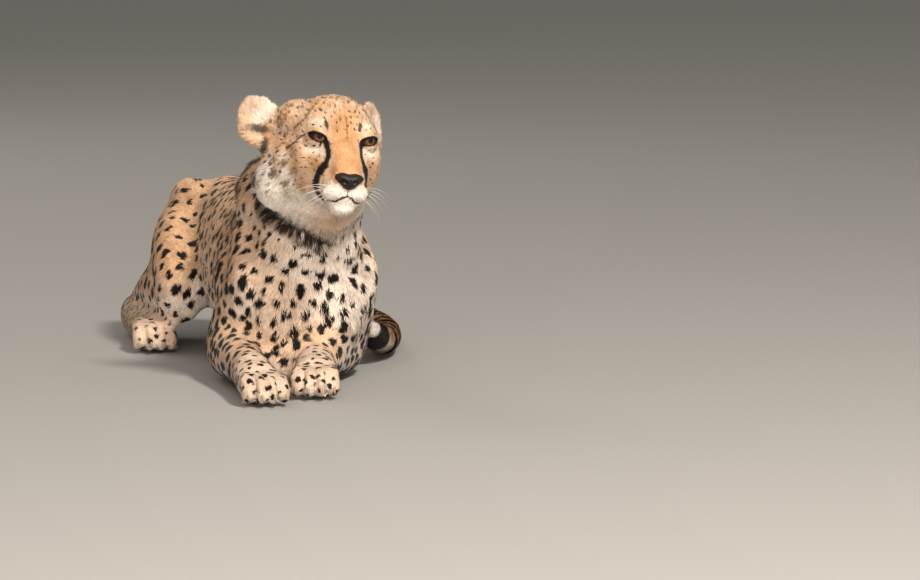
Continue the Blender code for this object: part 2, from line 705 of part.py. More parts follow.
def centre_footprint():
    """Moves the model so that the middle of its bounding box's base is the origin."""
    graph = bpy.context.evaluated_depsgraph_get()
    corners = [Vector(corner) for item in bpy.data.objects if not item.hide_render
               for corner in item.evaluated_get(graph).bound_box]
    middle = Vector([(min(c[k] for c in corners) + max(c[k] for c in corners)) / 2 for k in (0, 1)] + [0.0])
    for mesh in {item.data for item in bpy.data.objects}:
        mesh.transform(Matrix.Translation(-middle))


def main():
    clear_scene()
    floor_cutter()
    materials = {name: make_material(name, colour, 0.3 if name in ("nose", "eye", "claw") else 0.9)
                 for name, colour in COLOURS.items()}
    part_body(materials)
    part_head(materials)
    centre_footprint()


main()
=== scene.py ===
import json
import math
import bmesh
import bpy
import numpy as np
from mathutils import Euler, Matrix, Vector
from mathutils.bvhtree import BVHTree
from mathutils.kdtree import KDTree

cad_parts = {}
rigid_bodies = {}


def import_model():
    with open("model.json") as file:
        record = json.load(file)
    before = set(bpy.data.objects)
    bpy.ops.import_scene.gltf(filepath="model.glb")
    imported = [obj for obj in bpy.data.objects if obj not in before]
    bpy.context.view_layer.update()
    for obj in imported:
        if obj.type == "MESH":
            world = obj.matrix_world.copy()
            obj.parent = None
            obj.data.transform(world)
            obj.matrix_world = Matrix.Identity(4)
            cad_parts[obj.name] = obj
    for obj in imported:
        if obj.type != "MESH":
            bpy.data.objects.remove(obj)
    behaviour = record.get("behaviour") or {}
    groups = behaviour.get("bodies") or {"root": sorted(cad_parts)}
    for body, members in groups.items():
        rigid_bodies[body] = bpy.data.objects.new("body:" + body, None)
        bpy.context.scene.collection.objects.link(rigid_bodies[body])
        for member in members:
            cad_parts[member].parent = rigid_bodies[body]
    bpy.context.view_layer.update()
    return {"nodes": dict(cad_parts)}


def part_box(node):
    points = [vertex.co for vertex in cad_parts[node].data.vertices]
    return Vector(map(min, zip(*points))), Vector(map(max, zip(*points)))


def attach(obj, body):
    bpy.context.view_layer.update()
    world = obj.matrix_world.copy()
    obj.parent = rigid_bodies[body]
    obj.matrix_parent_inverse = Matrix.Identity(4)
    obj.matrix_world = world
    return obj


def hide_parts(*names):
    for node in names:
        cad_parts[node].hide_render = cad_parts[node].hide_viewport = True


for spare in list(bpy.data.objects):
    bpy.data.objects.remove(spare, do_unlink=True)
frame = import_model()
print("frame loaded")


# small helpers

def linear(hexColour):
    values = [int(hexColour[at:at + 2], 16) / 255 for at in (1, 3, 5)]
    return tuple(v / 12.92 if v <= 0.04045 else ((v + 0.055) / 1.055) ** 2.4 for v in values) + (1.0,)


# settings name a node's attributes or inputs with their values, links its inputs with the sockets they take
def addNode(tree, kind, settings=None, links=None):
    node = tree.nodes.new("ShaderNode" + kind)
    for key, value in (settings or {}).items():
        if isinstance(key, str) and hasattr(node, key):
            setattr(node, key, value)
        else:
            node.inputs[key].default_value = value
    for key, socket in (links or {}).items():
        tree.links.new(socket, node.inputs[key])
    return node


def newMaterial(name, settings):
    material = bpy.data.materials.new(name)
    material.use_nodes = True
    tree = material.node_tree
    tree.nodes.clear()
    shader = addNode(tree, "BsdfPrincipled", settings)
    addNode(tree, "OutputMaterial", {}, {"Surface": shader.outputs["BSDF"]})
    return material, tree, shader


def unit(vectors):
    return vectors / np.maximum(np.linalg.norm(vectors, axis=-1, keepdims=True), 1e-9)


def pull(rows, what, width, kind=np.float32):
    values = np.empty(len(rows) * width, kind)
    rows.foreach_get(what, values)
    return values.reshape(-1, width)


def put(rows, what, values, kind=np.float32):
    rows.foreach_set(what, np.asarray(values).astype(kind).ravel())


def addLayer(mesh, name, values):
    put(mesh.attributes.new(name, "FLOAT", "POINT").data, "value", values)


def meshFrom(bm, name):
    mesh = bpy.data.meshes.new(name)
    bm.to_mesh(mesh)
    bm.free()
    for face in mesh.polygons:
        face.use_smooth = True
    return mesh


def readPoints(mesh, what="co"):
    return pull(mesh.vertices, what, 3).astype(np.float64)


def writePoints(mesh, co):
    put(mesh.vertices, "co", co)
    mesh.update()


def readPairs(mesh):
    return pull(mesh.edges, "vertices", 2, np.int32)


def neighbourMean(values, pairs, count):
    total = np.empty_like(values)
    for axis in range(values.shape[1]):
        total[:, axis] = (np.bincount(pairs[:, 0], values[pairs[:, 1], axis], len(values))
                          + np.bincount(pairs[:, 1], values[pairs[:, 0], axis], len(values)))
    return total / count[:, None]


def spread(values, pairs, rounds, share=0.6):
    flat = values.reshape(len(values), -1).astype(np.float64)
    count = np.maximum(np.bincount(pairs.ravel(), minlength=len(flat)), 1)
    for turn in range(rounds):
        flat = flat + (neighbourMean(flat, pairs, count) - flat) * share
    return flat.reshape(values.shape)


def relax(mesh, rounds, weight=1.0, keepVolume=True):
    co, pairs = readPoints(mesh), readPairs(mesh)
    count = np.maximum(np.bincount(pairs.ravel(), minlength=len(co)), 1)
    for turn in range(rounds):
        for step in ((0.60, -0.62) if keepVolume else (0.50,)):
            co = co + (neighbourMean(co, pairs, count) - co) * step * weight
    writePoints(mesh, co)


def nearPath(points, path):
    best = np.full(len(points), 1e9)    # distance from each point to a line of straight lengths
    for start, end in zip(path[:-1], path[1:]):
        start, end = np.array(start), np.array(end)
        line = end - start
        share = np.clip((points - start) @ line / max(line @ line, 1e-12), 0, 1)
        best = np.minimum(best, np.linalg.norm(points - start - share[:, None] * line, axis=1))
    return best


def step01(value, low, high):    # 0 below low, 1 above high, eased between
    share = np.clip((value - low) / (high - low), 0, 1)
    return share * share * (3 - 2 * share)


def newObject(name, mesh, replaced=()):
    item = bpy.data.objects.new(name, mesh)
    bpy.context.scene.collection.objects.link(item)
    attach(item, "root")
    if replaced:
        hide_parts(*replaced)
    return item


# camera, floor and light

def middle(node):
    low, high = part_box(node)
    return (Vector(low) + Vector(high)) / 2


def corners(node):
    return [np.array(corner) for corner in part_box(node)]


studio = {"azimuth": -13.0, "elevation": 6.0, "distance": 9.0, "lens": 246.5,
          "aside": 0.1693, "below": 0.2150,    # the view's middle, from between the eyes
          "aim": (-0.02, -0.15, 0.2), "sky": "#efebe6", "skyPower": 0.36, "floor": "#999691"}
eyesMiddle = (middle("eye_left") + middle("eye_right")) / 2
azimuth, elevation = math.radians(studio["azimuth"]), math.radians(studio["elevation"])
back = Vector((math.sin(azimuth) * math.cos(elevation), -math.cos(azimuth) * math.cos(elevation),
               math.sin(elevation)))
right = Vector((math.cos(azimuth), math.sin(azimuth), 0.0))
up = back.cross(right)
camera = bpy.data.objects.new("camera", bpy.data.cameras.new("camera"))
camera.location = eyesMiddle + right * studio["aside"] - up * studio["below"] + back * studio["distance"]
camera.rotation_euler = (-back).to_track_quat("-Z", "Y").to_euler()
camera.data.sensor_width = 36.0
camera.data.lens = studio["lens"]
camera.data.clip_start, camera.data.clip_end = 0.1, 60.0
bpy.context.scene.collection.objects.link(camera)
bpy.context.scene.camera = camera

lamps = {
    "key": {"at": (1.2, -4.3, 4.7), "size": 0.8, "power": 412.0, "colour": "#fffaf2"},
    "fill": {"at": (-1.1, -5.2, 1.6), "size": 3.0, "power": 205.0, "colour": "#fff5ea"},
    "rim": {"at": (-1.6, 4.0, 3.4), "size": 2.2, "power": 70.0, "colour": "#fffaf3"},
}
for name, lamp in lamps.items():
    light = bpy.data.lights.new(name, "AREA")
    light.energy, light.size, light.color = lamp["power"], lamp["size"], linear(lamp["colour"])[:3]
    item = bpy.data.objects.new(name, light)
    item.location = lamp["at"]
    item.rotation_euler = (Vector(studio["aim"]) - item.location).to_track_quat("-Z", "Y").to_euler()
    item.visible_glossy = name == "key"    # only the key lamp shows in the eyes
    bpy.context.scene.collection.objects.link(item)
world = bpy.data.worlds.new("studio")
world.use_nodes = True
sky = world.node_tree.nodes["Background"].inputs
sky["Color"].default_value, sky["Strength"].default_value = linear(studio["sky"]), studio["skyPower"]
bpy.context.scene.world = world
bpy.context.scene.view_settings.view_transform = "Standard"

bm = bmesh.new()
bmesh.ops.create_circle(bm, cap_ends=True, cap_tris=False, segments=96, radius=14.0)
bmesh.ops.translate(bm, verts=bm.verts, vec=(0.0, 0.0, -0.0004))
floor = bpy.data.objects.new("floor", meshFrom(bm, "floor"))
bpy.context.scene.collection.objects.link(floor)
paper, tree, shader = newMaterial("studio_paper", {"Roughness": 0.9})    # matt pale paper, no sheen
shader.inputs["Base Color"].default_value = linear(studio["floor"])
floor.data.materials.append(paper)
print("camera, floor and lamps made")


# the head's own frame

head = {"turn": (-4.5, 6.0, 0.5), "eyeAt": (0.0345, -0.0640, 0.0225), "eyeRadius": 0.0165}
headTurn = Euler([math.radians(angle) for angle in head["turn"]], "XYZ").to_matrix()
headAt = eyesMiddle - headTurn @ Vector((0.0, head["eyeAt"][1], head["eyeAt"][2]))
headMatrix = np.array(headTurn)
headOrigin = np.array(headAt)
signs = {"left": 1, "right": -1}


def toHead(points):
    return (points - headOrigin) @ headMatrix    # x to the animal's left, -y ahead, z up


def fromHead(points):
    return np.asarray(points) @ headMatrix.T + headOrigin


def mirrored(local):
    return np.abs(local) * (1, 0, 0) + local * (0, 1, 1)


# skin

fleshNodes = [name for name in frame["nodes"] if not name.startswith(("eye_", "nose", "claw_"))]
skinSize = {"voxel": 0.0059, "overlap": 0.0007, "lidFill": 0.0160}


def joinedFlesh():
    bm = bmesh.new()
    for name in fleshNodes:
        part = bmesh.new()
        part.from_mesh(frame["nodes"][name].data)
        bmesh.ops.remove_doubles(part, verts=part.verts, dist=0.00001)
        part.normal_update()
        moves = [vert.normal * skinSize["overlap"] for vert in part.verts]
        for vert, move in zip(part.verts, moves):
            vert.co += move
        copy = meshFrom(part, "copy")
        bm.from_mesh(copy)
        bpy.data.meshes.remove(copy)
    for side in signs:    # the eyeballs fill their sockets, so that lids can be drawn over them
        bmesh.ops.create_icosphere(bm, subdivisions=3, radius=skinSize["lidFill"],
                                   matrix=Matrix.Translation(middle("eye_" + side)))
    bed = Matrix.Translation(middle("nose")) @ headTurn.to_4x4() @ Matrix.Rotation(math.radians(18), 4, "X")
    bmesh.ops.create_icosphere(bm, subdivisions=3, radius=1.0,    # the nose's bed, for its leather
                               matrix=bed @ Matrix.Diagonal((0.0205, 0.0085, 0.0110, 1)))
    return meshFrom(bm, "flesh")


def remeshed(mesh, size):
    item = bpy.data.objects.new("voxelled", mesh)
    bpy.context.scene.collection.objects.link(item)
    modifier = item.modifiers.new("voxels", "REMESH")
    modifier.mode, modifier.voxel_size = "VOXEL", size
    done = bpy.data.meshes.new_from_object(item.evaluated_get(bpy.context.evaluated_depsgraph_get()))
    bpy.data.objects.remove(item)
    return done


def nodeLabels(points):
    verts, faces, owners = [], [], []    # which solid each point belongs to
    for number, name in enumerate(fleshNodes):
        data = frame["nodes"][name].data
        base = len(verts)
        verts.extend(vert.co.copy() for vert in data.vertices)
        for face in data.polygons:
            faces.append([base + index for index in face.vertices])
            owners.append(number)
    tree = BVHTree.FromPolygons(verts, faces)
    return np.array([owners[tree.find_nearest(point)[2]] for point in points.tolist()])


def refined(mesh, chosen):
    bm = bmesh.new()    # halves the edges of the faces whose middle is chosen
    bm.from_mesh(mesh)
    centres = np.array([face.calc_center_median()[:] for face in bm.faces])
    picked = chosen(centres)
    bm.faces.ensure_lookup_table()
    edges = {edge for index in np.nonzero(picked)[0] for edge in bm.faces[index].edges}
    bmesh.ops.subdivide_edges(bm, edges=list(edges), cuts=1, use_grid_fill=True)
    bm.to_mesh(mesh)
    bm.free()
    mesh.update()


def inHead(points):
    local = toHead(points)
    far = np.linalg.norm(local * (1, 0.8, 1), axis=1)
    return (local[:, 1] < 0.075) & (local[:, 2] > -0.110) & (far < 0.135)


def inFace(points):
    local = toHead(points)
    tall = (local[:, 2] > -0.098) & (local[:, 2] < 0.052)
    return (local[:, 1] < -0.035) & (np.abs(local[:, 0]) < 0.066) & tall


skin = remeshed(joinedFlesh(), skinSize["voxel"])
print("skin voxelled:", len(skin.vertices))
labels = nodeLabels(readPoints(skin))


def labelWeight(*starts):
    return np.array([name.startswith(starts) for name in fleshNodes])[labels].astype(float)


pairs = readPairs(skin)
fine = spread(labelWeight("head", "ear_", "fore_paw", "hind_foot"), pairs, 6)
behind = step01(toHead(readPoints(skin))[:, 1], -0.075, -0.030) * spread(labelWeight("head"), pairs, 4)
relax(skin, 55, (1.0 - 0.92 * fine + 0.62 * behind)[:, None])
relax(skin, 6)
print("skin smoothed")

depths = {"head": 0.0032, "ear_": 0.0015, "neck": 0.0070, "chest": 0.0080, "loins": 0.0060, "rump": 0.0060,
          "upper_arm": 0.0055, "forearm": 0.0040, "fore_paw": 0.0022, "thigh": 0.0055, "shank": 0.0045,
          "hind_foot": 0.0022, "tail": 0.0050}


def perLabel(table):
    values = np.array([next(table[key] for key in table if name.startswith(key)) for name in fleshNodes])
    return values[labels]


depth = spread(perLabel(depths), pairs, 10)
writePoints(skin, readPoints(skin) - readPoints(skin, "normal") * depth[:, None])
relax(skin, 2, 0.5)


def inPaws(points):
    inside = np.zeros(len(points), bool)
    for side in signs:
        low, high = corners("fore_paw_" + side)
        inside |= ((points > low - 0.004) & (points < high + 0.004)).all(1)
    return inside


def nearEye(points):
    half = mirrored(toHead(points)) - head["eyeAt"]
    return (np.linalg.norm(half * (0.82, 1, 1), axis=1) < 0.0215) & (half[:, 1] < -0.001)


refined(skin, inHead)
refined(skin, inPaws)
refined(skin, inFace)
relax(skin, 2, 0.6)
refined(skin, nearEye)
print("skin refined:", sum(len(face.vertices) - 2 for face in skin.polygons), "triangles")


# sculpting: folds, lids, muzzle, paws

def otherSide(path):
    return [(-x, y, z) for x, y, z in path]


def pressHead(strokes):
    co, out = readPoints(skin), readPoints(skin, "normal")
    local = toHead(co)
    for path, width, height, both in strokes:    # height above 0 raises the skin, under 0 presses a crease
        for line in ((path, otherSide(path)) if both else (path,)):
            co += out * (height * np.exp(-(nearPath(local, line) / width) ** 2))[:, None]
    writePoints(skin, co)


headStrokes = [    # each has its line, how wide it is, its height, and whether both sides have it
    # brow over the eye, its fold, and the hollow of the temple
    ([(0.018, -0.078, 0.040), (0.034, -0.078, 0.047), (0.052, -0.062, 0.042)], 0.0085, 0.0032, True),
    ([(0.000, -0.070, 0.066), (0.000, -0.084, 0.040), (0.000, -0.088, 0.020)], 0.0045, -0.0016, False),
    ([(0.066, -0.040, 0.020), (0.074, -0.010, 0.024)], 0.0120, -0.0016, True),
    # cheekbone, and the tear groove down the muzzle's side
    ([(0.030, -0.080, -0.004), (0.048, -0.070, -0.004), (0.064, -0.046, 0.002)], 0.0085, 0.0016, True),
    ([(0.021, -0.085, 0.010), (0.023, -0.092, -0.012), (0.031, -0.098, -0.034)], 0.0040, -0.0012, True),
    # nose wing, lip cleft, mouth and the pad's fullness
    ([(0.015, -0.126, -0.030), (0.021, -0.121, -0.036), (0.022, -0.122, -0.043)], 0.0035, 0.0012, True),
    ([(0.000, -0.140, -0.048), (0.000, -0.138, -0.060)], 0.0026, -0.0036, False),
    ([(0.000, -0.136, -0.0615), (0.011, -0.131, -0.0655), (0.024, -0.117, -0.0700), (0.036, -0.094, -0.0690)],
     0.0030, -0.0040, True),
    ([(0.010, -0.132, -0.0555), (0.021, -0.125, -0.0565), (0.032, -0.106, -0.0580)], 0.0075, 0.0018, True),
    ([(0.000, -0.122, -0.0780), (0.008, -0.119, -0.0790)], 0.0070, 0.0014, True),
]
pressHead(headStrokes)


pawShape = {"groove": 0.0042, "grooveWide": 0.0026, "toe": 0.0014, "toeWide": 0.0050, "toeLong": 0.052,
            "fan": 0.22}


def sculptPaws():
    co, out = readPoints(skin), readPoints(skin, "normal")
    for foot in ("fore_paw_left", "fore_paw_right", "hind_foot_left", "hind_foot_right"):
        claws = [np.array(middle("claw_" + foot + "_" + str(toe + 1))) for toe in range(4)]
        low, high = corners(foot)
        ahead = sum(claws) / 4 - (low + high) / 2
        ahead = unit(ahead * (1, 1, 0))
        across = np.cross((0, 0, 1), ahead)
        front = max(claw @ ahead for claw in claws)
        places = sorted(claw @ across for claw in claws)
        inside = ((co > low - 0.006) & (co < high + 0.006)).all(1)
        run = step01(co @ ahead, front - pawShape["toeLong"], front - 0.024) * inside
        off = co @ across
        middleOf = sum(places) / 4
        fan = step01(co @ ahead, front - 0.055, front - 0.005)
        fan = 1 - pawShape["fan"] * (1 - fan)    # narrower at the toes' roots
        press = np.zeros(len(co))
        for first, second in zip(places[:-1], places[1:]):
            groove = middleOf + ((first + second) / 2 - middleOf) * fan
            press -= pawShape["groove"] * np.exp(-((off - groove) / pawShape["grooveWide"]) ** 2)
        for place in places:
            toe = off - middleOf - (place - middleOf) * fan
            press += pawShape["toe"] * np.exp(-(toe / pawShape["toeWide"]) ** 2)
        co += out * (press * run)[:, None]
    writePoints(skin, co)


sculptPaws()


creaseShape = {"deep": 0.0055, "wide": 0.008, "lip": 0.0022, "lipWide": 0.009, "lipAway": 0.017}
creaseLine = [(-0.112, -0.290, 0.300), (-0.0905, -0.279, 0.262), (-0.075, -0.310, 0.2496),
              (-0.056, -0.3266, 0.2405), (-0.037, -0.329, 0.230), (-0.015, -0.3205, 0.220),
              (0.009, -0.305, 0.1965), (0.031, -0.286, 0.1605)]


def pressCrease():
    co, out = readPoints(skin), readPoints(skin, "normal")
    far = nearPath(co, creaseLine)    # where the ruff and the collar of the neck meet
    lip = creaseShape["lip"] * np.exp(-((far - creaseShape["lipAway"]) / creaseShape["lipWide"]) ** 2)
    co += out * (lip - creaseShape["deep"] * np.exp(-(far / creaseShape["wide"]) ** 2))[:, None]
    writePoints(skin, co)


pressCrease()

lidShape = {"out": 15.0, "raise": 2.0, "slant": 17.0, "halfWide": 50.0, "upper": 14.5, "lower": 18.5,
            "thick": 0.0024, "recess": 0.0030}    # degrees round the eyeball, metres


def eyeFrame(side):
    sign = signs[side]
    out, rise, slant = (math.radians(lidShape[key]) for key in ("out", "raise", "slant"))
    ahead = Vector((sign * math.sin(out) * math.cos(rise), -math.cos(out) * math.cos(rise), math.sin(rise)))
    across = Vector((0, 0, 1)).cross(ahead).normalized() * sign
    top = ahead.cross(across) * sign
    wide = across * math.cos(slant) + top * math.sin(slant)    # towards the outer corner
    high = top * math.cos(slant) - across * math.sin(slant)
    return np.array([wide, high, ahead])


def eyeAngles(local, side):
    eyeAt = np.array(head["eyeAt"]) * (signs[side], 1, 1)
    away = local - eyeAt
    wide, high, ahead = (away @ axis for axis in eyeFrame(side))
    far = np.linalg.norm(away, axis=1)
    rise = np.degrees(np.arcsin(np.clip(high / far, -1, 1)))
    return np.degrees(np.arctan2(wide, ahead)), rise, far, ahead, eyeAt


def lidEdge(wide):
    share = np.clip(1 - (wide / lidShape["halfWide"]) ** 2, 0, 1)
    lean = wide / lidShape["halfWide"]    # the upper lid is fullest towards the nose, the lower one outside
    top = lidShape["upper"] * share ** 0.62 * (1 - 0.16 * lean)
    low = -lidShape["lower"] * share ** 0.72 * (1 + 0.10 * lean)
    return top, low


def lidGap(wide, high):
    top, low = lidEdge(wide)
    beyond = np.abs(wide) - lidShape["halfWide"]
    return np.maximum(np.maximum(high - top, low - high), beyond)    # under 0 inside the opening


def rimWidth(wide, high):
    return 3.5 + 5.0 * step01(high - 0.12 * wide, -3.0, 8.0)    # the bare dark rim is widest above and inside


def drawLids():
    co = readPoints(skin)
    local = toHead(co)
    for side in signs:
        wide, high, far, ahead, eyeAt = eyeAngles(local, side)
        close = (far < 0.040) & (ahead > -0.004)
        gap = lidGap(wide, high)
        edge = np.exp(-np.maximum(gap, 0) / 8.0)
        lid = head["eyeRadius"] + 0.0010 + lidShape["thick"] * edge * (0.8 + 0.2 * np.sign(high))
        inside = step01(-gap, 0.2, 2.4)
        target = lid * (1 - inside) + (head["eyeRadius"] - lidShape["recess"]) * inside
        blend = 1 - step01(gap, 8.0, 34.0)
        drawn = np.where(gap < 0, target, np.maximum(target, far * (1 - edge) + target * edge))
        newFar = far * (1 - blend) + drawn * blend
        newFar = np.where(gap < 0, newFar, np.maximum(newFar, head["eyeRadius"] + 0.0014))
        moved = eyeAt + (local - eyeAt) * (newFar / far)[:, None]
        local = np.where(close[:, None], moved, local)
    writePoints(skin, fromHead(local))


def fillFolds():
    co, out = readPoints(skin), readPoints(skin, "normal")
    calm = spread(co, readPairs(skin), 70)
    local = toHead(co)
    rise = ((calm - co) * out).sum(1).clip(0)    # only outwards, so that the folds round the lids fill
    for side in signs:
        wide, high, far, ahead = eyeAngles(local, side)[:4]
        share = step01(lidGap(wide, high), 7.0, 15.0) * (1 - step01(far, 0.030, 0.044)) * (ahead > -0.004)
        co += out * (rise * share)[:, None]
    writePoints(skin, co)


drawLids()
fillFolds()
print("face sculpted")


# regions, lie of the coat

skin.calc_loop_triangles()
labels = nodeLabels(readPoints(skin))
pairs = readPairs(skin)
co, out = readPoints(skin), readPoints(skin, "normal")
local = toHead(co)


tailLine = [(-0.02, 0.39, 0.12), (0.016, 0.504, 0.060), (0.096, 0.526, 0.025), (0.167, 0.460, 0.025),
            (0.186, 0.310, 0.025), (0.180, 0.160, 0.025), (0.148, 0.035, 0.029), (0.113, -0.050, 0.050),
            (0.105, -0.080, 0.070)]    # from the rump to the tip, as the solids lie


def alongTail(points):
    best, share, done = np.full(len(points), 1e9), np.zeros(len(points)), 0.0
    heading = np.zeros((len(points), 3))
    for start, end in zip(tailLine[:-1], tailLine[1:]):
        start, end = np.array(start), np.array(end)
        line = end - start
        size = np.linalg.norm(line)
        part = np.clip((points - start) @ line / size ** 2, 0, 1)
        far = np.linalg.norm(points - start - part[:, None] * line, axis=1)
        closer = far < best
        best[closer], share[closer] = far[closer], done + part[closer] * size
        heading[closer] = line / size
        done += size
    return share, heading


lieTable = {    # which way the hair points: to the animal's left, behind it, up
    "neck": (0.0, 0.62, -0.66), "chest": (0.0, 0.55, -0.84), "loins": (0.0, 0.92, -0.36),
    "rump": (0.0, 0.86, -0.46), "upper_arm": (0.0, 0.42, -0.90), "thigh": (0.0, 0.55, -0.80),
    "shank": (0.0, 0.9, -0.35), "hind_foot": (-0.05, -1.0, -0.25)}


def lieOnHead(local):    # from the nose back over the face, and down the cheeks into the ruff
    flow = local - np.array((0.0, -0.150, -0.030))
    flow[:, 1] += 0.02
    cheek = step01(np.abs(local[:, 0]), 0.040, 0.075) * step01(-local[:, 2], -0.02, 0.03)
    flow = unit(flow) + cheek[:, None] * np.array((0.0, 0.2, -0.9))
    chin = step01(-local[:, 2], 0.060, 0.085)[:, None]
    flow = flow * (1 - chin) + np.array((0.0, 1.0, -0.3)) * chin
    return unit(flow) @ headMatrix.T


def lieOfCoat(points, local):
    lie = np.zeros_like(points)
    for number, name in enumerate(fleshNodes):
        mine = labels == number
        side = name.split("_")[-1]
        if name == "head":
            flow = lieOnHead(local[mine])
        elif name.startswith("ear_"):    # out from the ear's root
            low, high = corners(name)
            flow = points[mine] - ((low + high) / 2 + (-signs[side] * 0.018, 0.0, -0.026))
        elif name.startswith("fore"):    # along the foreleg to its toes
            along = np.array(middle("fore_paw_" + side)) - np.array(middle("forearm_" + side))
            flow = np.tile(along, (mine.sum(), 1))
            flow[:, 2] = -0.04 if name.startswith("fore_paw") else -0.02
        elif name.startswith("tail"):
            flow = alongTail(points[mine])[1]
        else:
            flow = next(lieTable[key] for key in lieTable if name.startswith(key))
        lie[mine] = unit(flow)
    return lie


lie = unit(spread(lieOfCoat(co, local), pairs, 14))
lie = unit(lie - out * (lie * out).sum(1)[:, None])
print("coat laid")


# markings: spots grown on the skin, and the face's own lines

spotPick = np.random.default_rng(41)
spotTable = {    # metres between spots, a spot's radius, and how far it is drawn out along the coat
    "neck": (0.0155, 0.0054, 1.08), "chest": (0.0178, 0.0072, 1.00), "loins": (0.0200, 0.0080, 1.04),
    "rump": (0.0205, 0.0079, 1.04), "upper_arm": (0.0190, 0.0084, 1.00), "forearm": (0.0170, 0.0080, 1.05),
    "fore_paw": (0.0128, 0.0043, 0.95), "thigh": (0.0205, 0.0080, 1.02), "shank": (0.0175, 0.0068, 1.05),
    "hind_foot": (0.0140, 0.0037, 0.95), "tail": (0.0190, 0.0068, 0.95), "ear_": (0.0300, 0.0010, 1.0),
    "head": (0.0086, 0.0019, 1.25)}


def waves(points, lengthMm, seed):
    pick = np.random.default_rng(seed)
    total = np.zeros(len(points))    # smooth ripples, so that neighbouring tufts lean together
    for turn in range(5):
        heading = unit(pick.normal(size=3)) * 2 * math.pi / (lengthMm / 1000 * pick.uniform(0.7, 1.4))
        total += np.sin(points @ heading + pick.uniform(0, 6.28))
    return total / 2.2


def spotSeeds():
    corner = pull(skin.loop_triangles, "vertices", 3, np.int32)
    area = pull(skin.loop_triangles, "area", 1).ravel()
    tries = corner[spotPick.choice(len(corner), 34000, p=area / area.sum()), 0]
    spacing, radius, stretch = (perLabel({key: row[at] for key, row in spotTable.items()}) for at in range(3))
    kept, keptAt, keptGap = [], np.zeros((0, 3)), np.zeros(0)
    for index in tries:
        gap = spacing[index] * spotPick.uniform(0.88, 1.10)
        if len(kept) and (np.linalg.norm(keptAt - co[index], axis=1) < 0.5 * (keptGap + gap)).any():
            continue
        kept.append(index)
        keptAt, keptGap = np.vstack([keptAt, co[index]]), np.append(keptGap, gap)
    kept = np.array(kept)
    size = radius[kept] * spotPick.uniform(0.66, 1.22, len(kept))
    drawn = stretch[kept] * spotPick.uniform(0.9, 1.2, len(kept))
    return {"at": keptAt, "lie": lie[kept], "out": out[kept], "size": size, "stretch": drawn,
            "phase": spotPick.uniform(0, 6.28, (len(kept), 2))}


seeds = spotSeeds()
seedTree = KDTree(len(seeds["at"]))
for index, point in enumerate(seeds["at"]):
    seedTree.insert(point, index)
seedTree.balance()
nearSeeds = np.array([[hit[1] for hit in seedTree.find_n(point, 4)] for point in co.tolist()])
print("spots placed:", len(seeds["at"]))


def spotShade(points, candidates, swell):
    dark = np.zeros(len(points))
    for column in range(candidates.shape[1]):
        seed = candidates[:, column]
        away = points - seeds["at"][seed]
        ahead = (away * seeds["lie"][seed]).sum(1)
        across = (away * np.cross(seeds["out"][seed], seeds["lie"][seed])).sum(1)
        angle = np.arctan2(across, ahead)
        ragged = (1 + 0.13 * np.sin(2 * angle + seeds["phase"][seed, 0])
                  + 0.10 * np.sin(3 * angle + seeds["phase"][seed, 1]))
        stretch = seeds["stretch"][seed]
        far = np.hypot(ahead / stretch, across * stretch) / (seeds["size"][seed] * ragged * swell)
        dark = np.maximum(dark, 1 - step01(far, 0.82, 1.18))
    return dark


skinTree = BVHTree.FromPolygons(co.tolist(), [list(face.vertices) for face in skin.polygons])


def laid(path, steps=10):    # a line drawn on the skin itself
    done = []
    for start, end in zip(path[:-1], path[1:]):
        for step in range(steps):
            done.append(Vector(start).lerp(Vector(end), step / steps))
    done.append(Vector(path[-1]))
    return [tuple(skinTree.find_nearest(point)[0]) for point in done]


def laidOnHead(path):
    return [laid(fromHead(side).tolist()) for side in (path, otherSide(path))]


tearLine = [(0.0262, -0.0800, 0.0165), (0.0245, -0.0920, 0.0030), (0.0238, -0.0977, -0.0050),
            (0.0290, -0.0991, -0.0160), (0.0352, -0.0890, -0.0290), (0.0362, -0.0800, -0.0440),
            (0.0305, -0.0790, -0.0585), (0.0262, -0.0820, -0.0655)]
eyeTail = [(0.0550, -0.0560, 0.0270), (0.0600, -0.0490, 0.0225), (0.0700, -0.0233, 0.0035)]
browStreak = [(0.0257, -0.0676, 0.0468), (0.0240, -0.0698, 0.0384)]
templeStreak = [(0.0370, -0.0300, 0.0700), (0.0520, -0.0400, 0.0520), (0.0680, -0.0280, 0.0340)]
lipLine = [(0.0000, -0.1380, -0.0600), (0.0110, -0.1300, -0.0660), (0.0240, -0.1160, -0.0700),
           (0.0310, -0.0960, -0.0690)]
lipCleft = [(0.0, -0.140, -0.045), (0.0, -0.140, -0.060)]
browLine = [(0.004, -0.0560, 0.0560), (0.0045, -0.0797, 0.0307)]
faceLines = [    # lines, half width, how dark
             (laidOnHead(tearLine[:4]), 0.0050, 1.0), (laidOnHead(tearLine[3:6]), 0.0068, 1.0),
             (laidOnHead(tearLine[5:]), 0.0068, 0.95), (laidOnHead(eyeTail), 0.0022, 0.85),
             (laidOnHead(browStreak), 0.0028, 0.9), (laidOnHead(templeStreak), 0.0026, 0.62),
             (laidOnHead(lipLine[:3]), 0.0015, 1.0), (laidOnHead(lipLine[2:]), 0.0012, 0.7),
             ([laid(fromHead(lipCleft).tolist())], 0.0010, 0.7),
             ([laid(fromHead(browLine).tolist())], 0.0011, 0.6)]
cheekClouds = [(0.0725, -0.018, 0.0062), (0.0610, -0.028, 0.0058), (0.0470, -0.043, 0.0050),
               (0.0660, -0.045, 0.0052), (0.0820, -0.034, 0.0055)]    # aside, height, size


def near(local, at, radii):
    away = (local - np.array(at)) / np.array(radii)
    return np.exp(-(away ** 2).sum(1))


